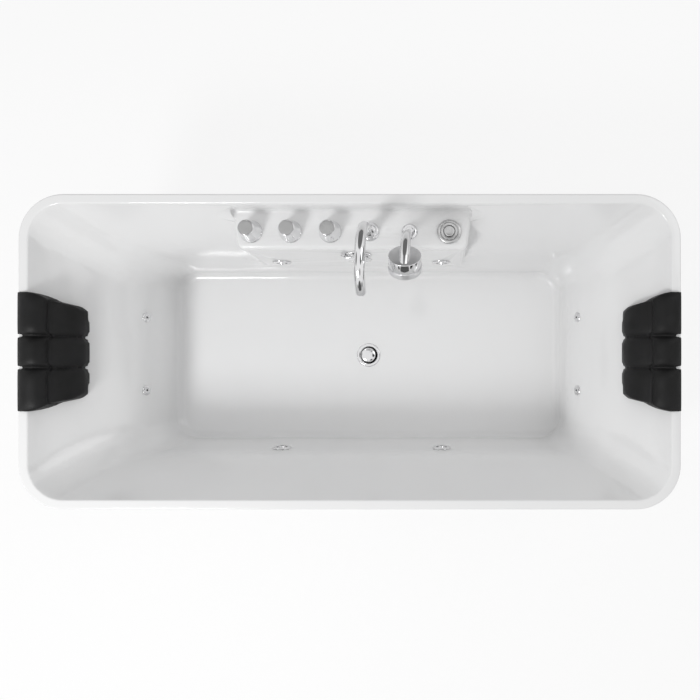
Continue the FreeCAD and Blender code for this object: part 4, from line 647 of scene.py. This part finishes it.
# %% [markdown]
# Spout. A tube bent on a mandrel: straight up with a slight lean, then one long arc that ends almost
# pointing down. A circle is extruded up the straight part and swept round the arc by the spin tool.
# The mouth is inset and pushed back in, so that the tube has a wall.

# %% Spout
SPOUT_RADIUS = 13.0
SPOUT_BORE = 10.5
SPOUT_LEAN = math.radians(5.0)
SPOUT_SWEEP = math.radians(150.0)
SPOUT_RISE = 105.0
SPOUT_BEND = 90.0
SPOUT_FOOT = 14.0
SPOUT_TURN = math.radians(-2.0)
MOUTH_DEPTH = 9.5

tap_seat = seat_of("spout_swivel")
foot = Vector((0, -SPOUT_FOOT * math.tan(SPOUT_LEAN), SPOUT_FOOT)) * MM
knee = Vector((0, -SPOUT_RISE * math.tan(SPOUT_LEAN), SPOUT_RISE)) * MM
bend_middle = knee - Vector((0, math.cos(SPOUT_LEAN), math.sin(SPOUT_LEAN))) * SPOUT_BEND * MM
mouth_way = Vector((0, -math.sin(SPOUT_SWEEP), math.cos(SPOUT_SWEEP)))
mouth = bend_middle + Vector((0, math.cos(SPOUT_SWEEP), math.sin(SPOUT_SWEEP))) * SPOUT_BEND * MM

clear_selection()
bpy.ops.mesh.primitive_circle_add(vertices=64, radius=SPOUT_RADIUS * MM, fill_type="NGON")
tube = bpy.context.object
bpy.ops.object.mode_set(mode="EDIT")
bpy.ops.mesh.select_all(action="SELECT")
bpy.ops.transform.translate(value=foot)
bpy.ops.mesh.extrude_region_move(TRANSFORM_OT_translate={"value": knee - foot})
bpy.ops.mesh.spin(steps=56, angle=SPOUT_LEAN - SPOUT_SWEEP, center=bend_middle, axis=(1, 0, 0))
for share, depth in ((SPOUT_BORE / SPOUT_RADIUS, 0), (1.0, -MOUTH_DEPTH)):
    bpy.ops.mesh.extrude_region_move(TRANSFORM_OT_translate={"value": mouth_way * depth * MM})
    bpy.ops.transform.resize(value=(share, share, share), center_override=mouth)
bpy.ops.mesh.select_all(action="SELECT")
bpy.ops.mesh.normals_make_consistent(inside=False)
bpy.ops.object.mode_set(mode="OBJECT")
edges_softened(tube, width=0.3)

COLLAR_OUTLINE = (
    (8.9, -24.0),
    (8.9, 8.6),
    (19.5, 8.6),
    (19.5, 11.2),
    (18.8, 12.6),
    (15.6, 19.2),
    (14.5, 20.4),
    (12.0, 20.6),
)
collar = turned("spout_collar", COLLAR_OUTLINE)
spout = joined("spout_tube", [tube, collar])
spout.rotation_euler.z = SPOUT_TURN
apply_place(spout)
fitted(stand(spout, tap_seat), "spout", "chrome", chrome, "spout")

BASE_OUTLINE = (
    (9.2, -60.0),
    (14.9, -60.0),
    (14.9, 0.0),
    (25.5, 0.0),
    (25.5, 2.3),
    (24.6, 3.6),
    (22.2, 7.4),
    (21.2, 8.0),
    (9.2, 8.0),
)
base = stand(turned("spout_foot", BASE_OUTLINE, hollow=True), tap_seat)
fitted(base, "tub", "chrome", chrome, "spout_base")
fitted(merged("aerator"), "spout", "fitting", SLOT_FINISH["fitting"], "aerator").name = "spout_aerator"
print("spout", len(spout.data.polygons), "faces, mouth at", [round(value, 3) for value in mouth + tap_seat])

# %% [markdown]
# Hand shower. A drum-shaped head on a handle that leans forward out of its socket and bends over.
# The handle is drawn up like a turned piece and then carried round its bend one ring at a time, each
# ring a little wider than the last. The head's back and its lower ring are satin, its side is bright.

# %% Hand shower: socket
SOCKET_TOP = 13.0
HANDLE_LEAN = math.radians(17.0)
HANDLE_TURN = math.radians(-2.3)
SOCKET_OUTLINE = (
    (14.9, -48.0),
    (14.9, 0.0),
    (21.0, 0.0),
    (21.0, 2.0),
    (18.2, 4.8),
    (17.0, 5.4),
    (14.5, 6.5),
    (14.5, 22.0),
)
socket_seat = Vector((box_middle("shower_socket").x, tap_seat.y, tap_seat.z))
socket = turned("shower_socket_body", SOCKET_OUTLINE, segments=64)
only(socket)
bpy.ops.object.mode_set(mode="EDIT")
bpy.ops.mesh.select_all(action="SELECT")
bpy.ops.mesh.bisect(
    plane_co=(0, 0, SOCKET_TOP * MM),
    plane_no=(0, -math.sin(HANDLE_LEAN), math.cos(HANDLE_LEAN)),
    use_fill=True,
    clear_outer=True,
)
bpy.ops.object.mode_set(mode="OBJECT")
smooth(socket)
fitted(stand(socket, socket_seat), "tub", "chrome", chrome, "shower_socket")
print("shower socket at", [round(value, 3) for value in socket_seat])

# %% Hand shower: handle and head
HANDLE_LENGTH = 98.0
BEND_RADIUS = 88.0
BEND_SWEEP = math.radians(63.0)
BEND_RINGS = 36
HANDLE_NARROW = 11.5
HANDLE_WIDE = 13.5
HEAD_ROOT = 24.0
HEAD_BACK = 8.0
HEAD_LEAN = math.radians(121.0)
HANDLE_OUTLINE = (
    (5.6, -16.0),
    (6.4, -14.0),
    (6.4, 0.7),
    (11.5, 0.7),
    (11.5, 4.4),
    (10.4, 8.6),
    (10.1, 12.0),
    (10.0, 20.0),
    (10.3, 50.0),
    (11.0, 80.0),
    (HANDLE_NARROW, HANDLE_LENGTH),
)


def handle_point(turn):
    """The middle of the bend where it has turned so far, and the way it points there."""
    ahead = BEND_RADIUS * (1 - math.cos(turn))
    point = Vector((0, -ahead, HANDLE_LENGTH + BEND_RADIUS * math.sin(turn))) * MM
    return point, Vector((0, -math.sin(turn), math.cos(turn)))


handle = turned("shower_handle", HANDLE_OUTLINE, segments=64)
only(handle)
bpy.ops.object.mode_set(mode="EDIT")
bpy.ops.mesh.select_all(action="DESELECT")
bpy.ops.object.mode_set(mode="OBJECT")
for face in handle.data.polygons:
    face.select = face.center.z > (HANDLE_LENGTH - WELD) * MM
bpy.ops.object.mode_set(mode="EDIT")
bpy.ops.mesh.select_mode(type="FACE")
step = BEND_SWEEP / BEND_RINGS
bend_centre = Vector((0, -BEND_RADIUS, HANDLE_LENGTH)) * MM
for ring in range(BEND_RINGS):
    bpy.ops.mesh.spin(steps=1, angle=-step, center=bend_centre, axis=(1, 0, 0))
    width = HANDLE_NARROW + (HANDLE_WIDE - HANDLE_NARROW) * ring / BEND_RINGS
    wider = 1 + (HANDLE_WIDE - HANDLE_NARROW) / BEND_RINGS / width
    middle, way = handle_point(step * (ring + 1))
    bpy.ops.transform.resize(value=(wider, wider, wider), center_override=middle)
bpy.ops.mesh.extrude_region_move(TRANSFORM_OT_translate={"value": way * HEAD_ROOT * MM})
bpy.ops.mesh.select_mode(type="VERT")
bpy.ops.object.mode_set(mode="OBJECT")
smooth(handle)

bend_end = handle_point(BEND_SWEEP)[0]
head_axis = Vector((0, -math.sin(HEAD_LEAN), math.cos(HEAD_LEAN)))
head_side = Vector((0, -math.sin(HEAD_LEAN - math.pi / 2), math.cos(HEAD_LEAN - math.pi / 2)))
head_middle = bend_end - head_side * HEAD_BACK * MM
BACK_OUTLINE = ((1.0, 0.0), (38.6, 0.0), (39.4, 0.9), (39.4, 1.6), (38.0, 1.7))
SIDE_OUTLINE = ((38.9, 1.2), (39.5, 1.5), (39.5, 26.2), (38.7, 27.2), (36.0, 27.2))
LOWER_OUTLINE = (
    (36.3, 27.2),
    (40.2, 27.2),
    (41.0, 28.2),
    (41.0, 42.0),
    (39.0, 44.0),
    (36.3, 44.0),
    (36.3, 40.0),
    (2.0, 40.0),
)
satin_head = bare_metal("satin_head", (0.86, 0.86, 0.87), 0.42, (1, 1, 1))
head_parts = (
    ("shower_back", BACK_OUTLINE, satin_head),
    ("shower_side", SIDE_OUTLINE, chrome),
    ("shower_ring", LOWER_OUTLINE, satin_head),
)
hand_pieces = [(handle, chrome)]
for name, outline, finish in head_parts:
    part = turned(name, outline, segments=128, bevel=0.2)
    hand_pieces.append((stand(part, head_middle, head_axis), finish))
in_socket = (
    Matrix.Translation(socket_seat + Vector((0, 0, SOCKET_TOP * MM)))
    @ Matrix.Rotation(HANDLE_TURN, 4, "Z")
    @ Matrix.Rotation(HANDLE_LEAN, 4, "X")
)
for piece, finish in hand_pieces:
    piece.matrix_world = in_socket
    fitted(apply_place(piece), "hand_shower", "chrome", finish)
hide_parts("hand_shower")
fitted(merged("shower_face"), "hand_shower", "seal", SLOT_FINISH["seal"], "shower_face").name = "shower_nubs"
print("hand shower reaches", [round(value, 3) for value in in_socket @ head_middle])

# %% [markdown]
# Air control. A low round bezel with a scalloped ring and a dished button in it, all in pale satin
# metal with fine turning rings. The ring's scallops come from the frame.

# %% Air control
BEZEL_OUTLINE = (
    (20.9, -60.0),
    (20.9, 0.0),
    (32.0, 0.0),
    (32.0, 3.0),
    (31.0, 5.2),
    (29.0, 6.5),
    (26.0, 7.0),
    (23.5, 6.1),
    (23.5, 1.0),
    (2.0, 1.0),
)
BUTTON_OUTLINE = (
    (4.9, -21.0),
    (4.9, 4.5),
    (14.0, 4.5),
    (14.0, 9.6),
    (13.6, 10.4),
    (12.5, 11.0),
    (11.2, 10.9),
    (9.0, 10.2),
    (1.0, 10.2),
)
control_seat = seat_of("air_ring_turn")
satin_control = SLOT_FINISH["satin_chrome"]
bezel = stand(turned("control_bezel", BEZEL_OUTLINE), control_seat)
fitted(bezel, "tub", "satin_chrome", satin_control, "control_body")
button = stand(turned("control_button", BUTTON_OUTLINE), control_seat)
fitted(button, "air_button", "satin_chrome", satin_control, "air_button")
grip = merged("air_ring")
grip.name = "control_ring"
fitted(edges_softened(grip, width=0.25, limit=40), "air_ring", "satin_chrome", satin_control, "air_ring")
print("air ring", len(grip.data.polygons), "faces")

# %% [markdown]
# Waste. A polished flange dished down to its bore, and a domed plug that stands open above it on a
# stem. A rubber seal sits under the plug.

# %% Waste and plug
FLANGE_HEIGHT = 3.2
PLUG_LIFT = 10.4
floor_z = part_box("drain_flange")[1].z / MM - FLANGE_HEIGHT
plug_z = floor_z + PLUG_LIFT
FLANGE_OUTLINE = (
    (20.5, -48.0),
    (23.9, -48.0),
    (23.9, 0.0),
    (38.0, 0.0),
    (38.0, 0.9),
    (37.2, 2.0),
    (35.6, 3.0),
    (34.0, FLANGE_HEIGHT),
    (31.2, 3.1),
    (28.6, 2.3),
    (25.0, 1.1),
    (22.0, 0.5),
    (20.9, -0.6),
    (20.5, -3.0),
)
PLUG_OUTLINE = (
    (3.9, -84.0),
    (3.9, 0.0),
    (22.4, 0.0),
    (23.0, 0.7),
    (23.0, 2.2),
    (22.2, 3.3),
    (20.0, 4.5),
    (16.0, 5.8),
    (11.0, 6.8),
    (6.0, 7.3),
    (1.0, 7.4),
)
SEAL_OUTLINE = ((4.1, -2.0), (19.2, -2.0), (19.5, -1.2), (19.5, -0.05), (4.1, -0.05))
flange = stand(turned("waste_flange", FLANGE_OUTLINE, hollow=True), (0, 0, floor_z * MM))
fitted(flange, "tub", "chrome", chrome, "drain_flange")
dome = stand(turned("plug_dome", PLUG_OUTLINE), (0, 0, plug_z * MM))
fitted(dome, "plug", "chrome", chrome, "plug")
seal = stand(turned("plug_seal", SEAL_OUTLINE, hollow=True, bevel=0.1), (0, 0, plug_z * MM))
fitted(seal, "plug", "seal", SLOT_FINISH["seal"])
print("plug at", round(plug_z, 1), "mm")

# %% [markdown]
# Jets. Four large ones: a stepped trim ring against the wall, and in it a ball with a tapered bore
# that aims the water. Both are modelled once, standing up, and each copy is laid on its own seat.
# A seat's direction follows from the axis that the ball turns about.

# %% Large jets
TRIM_OUTLINE = (
    (16.2, -18.0),
    (17.3, -18.0),
    (17.3, 0.3),
    (27.0, 0.3),
    (27.0, 1.5),
    (26.2, 3.0),
    (24.4, 4.0),
    (21.6, 4.8),
    (19.0, 5.0),
    (16.6, 4.6),
    (15.2, 4.0),
    (15.2, 2.4),
    (16.2, 1.0),
)
BALL_RADIUS = 15.5
BALL_BACK = 6.0
BALL_HALF = 9.0
BALL_STEPS = 12
ball_outline = [(9.9, -BALL_BACK - BALL_HALF)]
for step in range(BALL_STEPS + 1):
    height = BALL_HALF * (2 * step / BALL_STEPS - 1)
    ball_outline.append((math.sqrt(BALL_RADIUS ** 2 - height ** 2), height - BALL_BACK))
ball_outline += [(8.9, 3.2), (8.0, 7.0), (5.3, 7.0), (5.2, 6.0)]

trim_model = turned("trim_model", TRIM_OUTLINE, hollow=True, segments=72)
ball_model = turned("ball_model", ball_outline, hollow=True, segments=64, bevel=0.2)
trims = []
for place in ("front_left", "back_left", "front_right", "back_right"):
    hinge = joints["nozzle_" + place + "_aim"]
    side = -1 if hinge["pos_m"][1] > 0 else 1
    axis = Vector(hinge["axis"]).cross(Vector((1, 0, 0))) * side
    seat = Vector(hinge["pos_m"]) + axis * BALL_BACK * MM
    trims.append(stand(copied("jet_trim_" + place, trim_model), seat, axis))
    ball = stand(copied("jet_ball_" + place, ball_model), seat, axis)
    fitted(ball, "nozzle_" + place, "chrome", chrome, "nozzle_" + place)
for model in (trim_model, ball_model):
    bpy.data.objects.remove(model)
fitted(joined("jet_rings", trims), "tub", "chrome", chrome, "jet_trims")
print("large jets", len(trims))

# %% [markdown]
# The end jets, the suction cover, the overflow's slotted ring and its knob keep the frame's shapes,
# which have the right holes and slots. Their triangles are joined and their edges softened.

# %% Fittings from the frame, softened
SOFTENED = (
    ("end_jet_faces", "tub", "end_jets"),
    ("suction_cover", "tub", "suction_grille"),
    ("overflow_bezel", "tub", "overflow_ring"),
    ("overflow_knob", "overflow_knob", "overflow_grip"),
)
for node, body, name in SOFTENED:
    piece = merged(node)
    piece.name = name
    fitted(edges_softened(piece, width=0.25, limit=35), body, "chrome", chrome, node)
print(len(SOFTENED), "fittings softened")

# %% [markdown]
# Headrests. They are self-skinned foam: three cushions in a row with small webs between them, and a
# crease where the roll on the rim meets the pad that hangs down the end wall. The slots between the
# cushions are first cut open at the pad's lower end. Foam has no hard edge, so the shape is remade in
# even squares and blown up a little as a cloth, and then held to the room that it has on the rim. The
# crease is finer than the squares, so it is pressed in afterwards.

# %% Headrests
SLOT_Y = 41.0
NOSE_X = 738.0
NOSE_Z = 500.0
NOSE_CUT = (28.0, 7.0, 120.0)
SKIN_SQUARE = 3.0
SKIN_RELAX = 0.5
SKIN_PASSES = 3
AIR_PRESSURE = 4.0
AIR_FRAMES = 20
PUFF = 2.5
CREASE_X = 776.0
CREASE_WIDTH = 1.8
CREASE_DEPTH = 3.0
# The foam is shaped where it faces up and towards the bather. The higher a FACING value, the further
# a face may turn away from there and still get the full effect.
PUFF_WAY = Vector((-0.6, 0.0, 0.8))
PUFF_FACING = 1.5
CREASE_FACING = 2.0


def read_points(piece, what):
    """The places or normals of a piece's points, one row each."""
    flat = numpy.empty(3 * len(piece.data.vertices))
    piece.data.vertices.foreach_get(what, flat)
    return flat.reshape(-1, 3)


def write_points(piece, points):
    piece.data.vertices.foreach_set("co", points.ravel())
    piece.data.update()


def blown_up(piece):
    """Runs the cloth simulation on a closed piece and holds each point near where it was."""
    before = read_points(piece, "co")
    facing = numpy.clip(PUFF_FACING * read_points(piece, "normal") @ numpy.array(PUFF_WAY), 0, 1)
    cloth = piece.modifiers.new("air", "CLOTH")
    cloth.settings.use_pressure = True
    cloth.settings.uniform_pressure_force = AIR_PRESSURE
    cloth.settings.effector_weights.gravity = 0
    cloth.point_cache.frame_start = 1
    cloth.point_cache.frame_end = AIR_FRAMES
    for frame_number in range(1, AIR_FRAMES + 1):
        bpy.context.scene.frame_set(frame_number)
    apply_modifiers(piece)
    bpy.context.scene.frame_set(1)
    move = read_points(piece, "co") - before
    reach = numpy.linalg.norm(move, axis=1)
    room = facing * PUFF * MM / numpy.maximum(reach, PUFF * MM)
    write_points(piece, before + move * room[:, None])
    return reach.max()


pad = merged("headrest_right")
pad.name = "headrest_pad_right"
for side in (-1, 1):
    clear_selection()
    middle = Vector((NOSE_X, side * SLOT_Y, NOSE_Z)) * MM
    bpy.ops.mesh.primitive_cube_add(size=1, location=middle, scale=Vector(NOSE_CUT) * MM)
    blade = bpy.context.object
    slit = pad.modifiers.new("slit", "BOOLEAN")
    slit.operation = "DIFFERENCE"
    slit.object = blade
    apply_modifiers(pad)
    bpy.data.objects.remove(blade)
skin = pad.modifiers.new("skin", "REMESH")
skin.mode = "VOXEL"
skin.voxel_size = SKIN_SQUARE * MM
relax = pad.modifiers.new("relax", "SMOOTH")
relax.factor = SKIN_RELAX
relax.iterations = SKIN_PASSES
apply_modifiers(pad)
print("air moved the foam up to", round(blown_up(pad) / MM, 1), "mm before it was held")
finer = pad.modifiers.new("finer", "SUBSURF")
finer.levels = 1
finer.render_levels = 1
apply_modifiers(pad)
points = read_points(pad, "co")
outward = read_points(pad, "normal")
pressed = numpy.exp(-(((points[:, 0] / MM - CREASE_X) / CREASE_WIDTH) ** 2))
pressed *= numpy.clip(CREASE_FACING * outward @ numpy.array(PUFF_WAY), 0, 1)
write_points(pad, points - outward * (CREASE_DEPTH * MM * pressed)[:, None])

other_pad = copied("headrest_pad_left", pad)
other_pad.scale.x = -1
apply_place(other_pad)
bpy.ops.object.mode_set(mode="EDIT")
bpy.ops.mesh.select_all(action="SELECT")
bpy.ops.mesh.normals_make_consistent(inside=False)
bpy.ops.object.mode_set(mode="OBJECT")
for piece, side in ((pad, "right"), (other_pad, "left")):
    only(piece)
    bpy.ops.object.shade_smooth()
    fitted(piece, "headrest_" + side, "headrest", foam, "headrest_" + side)
print("headrest", len(pad.data.polygons), "faces")
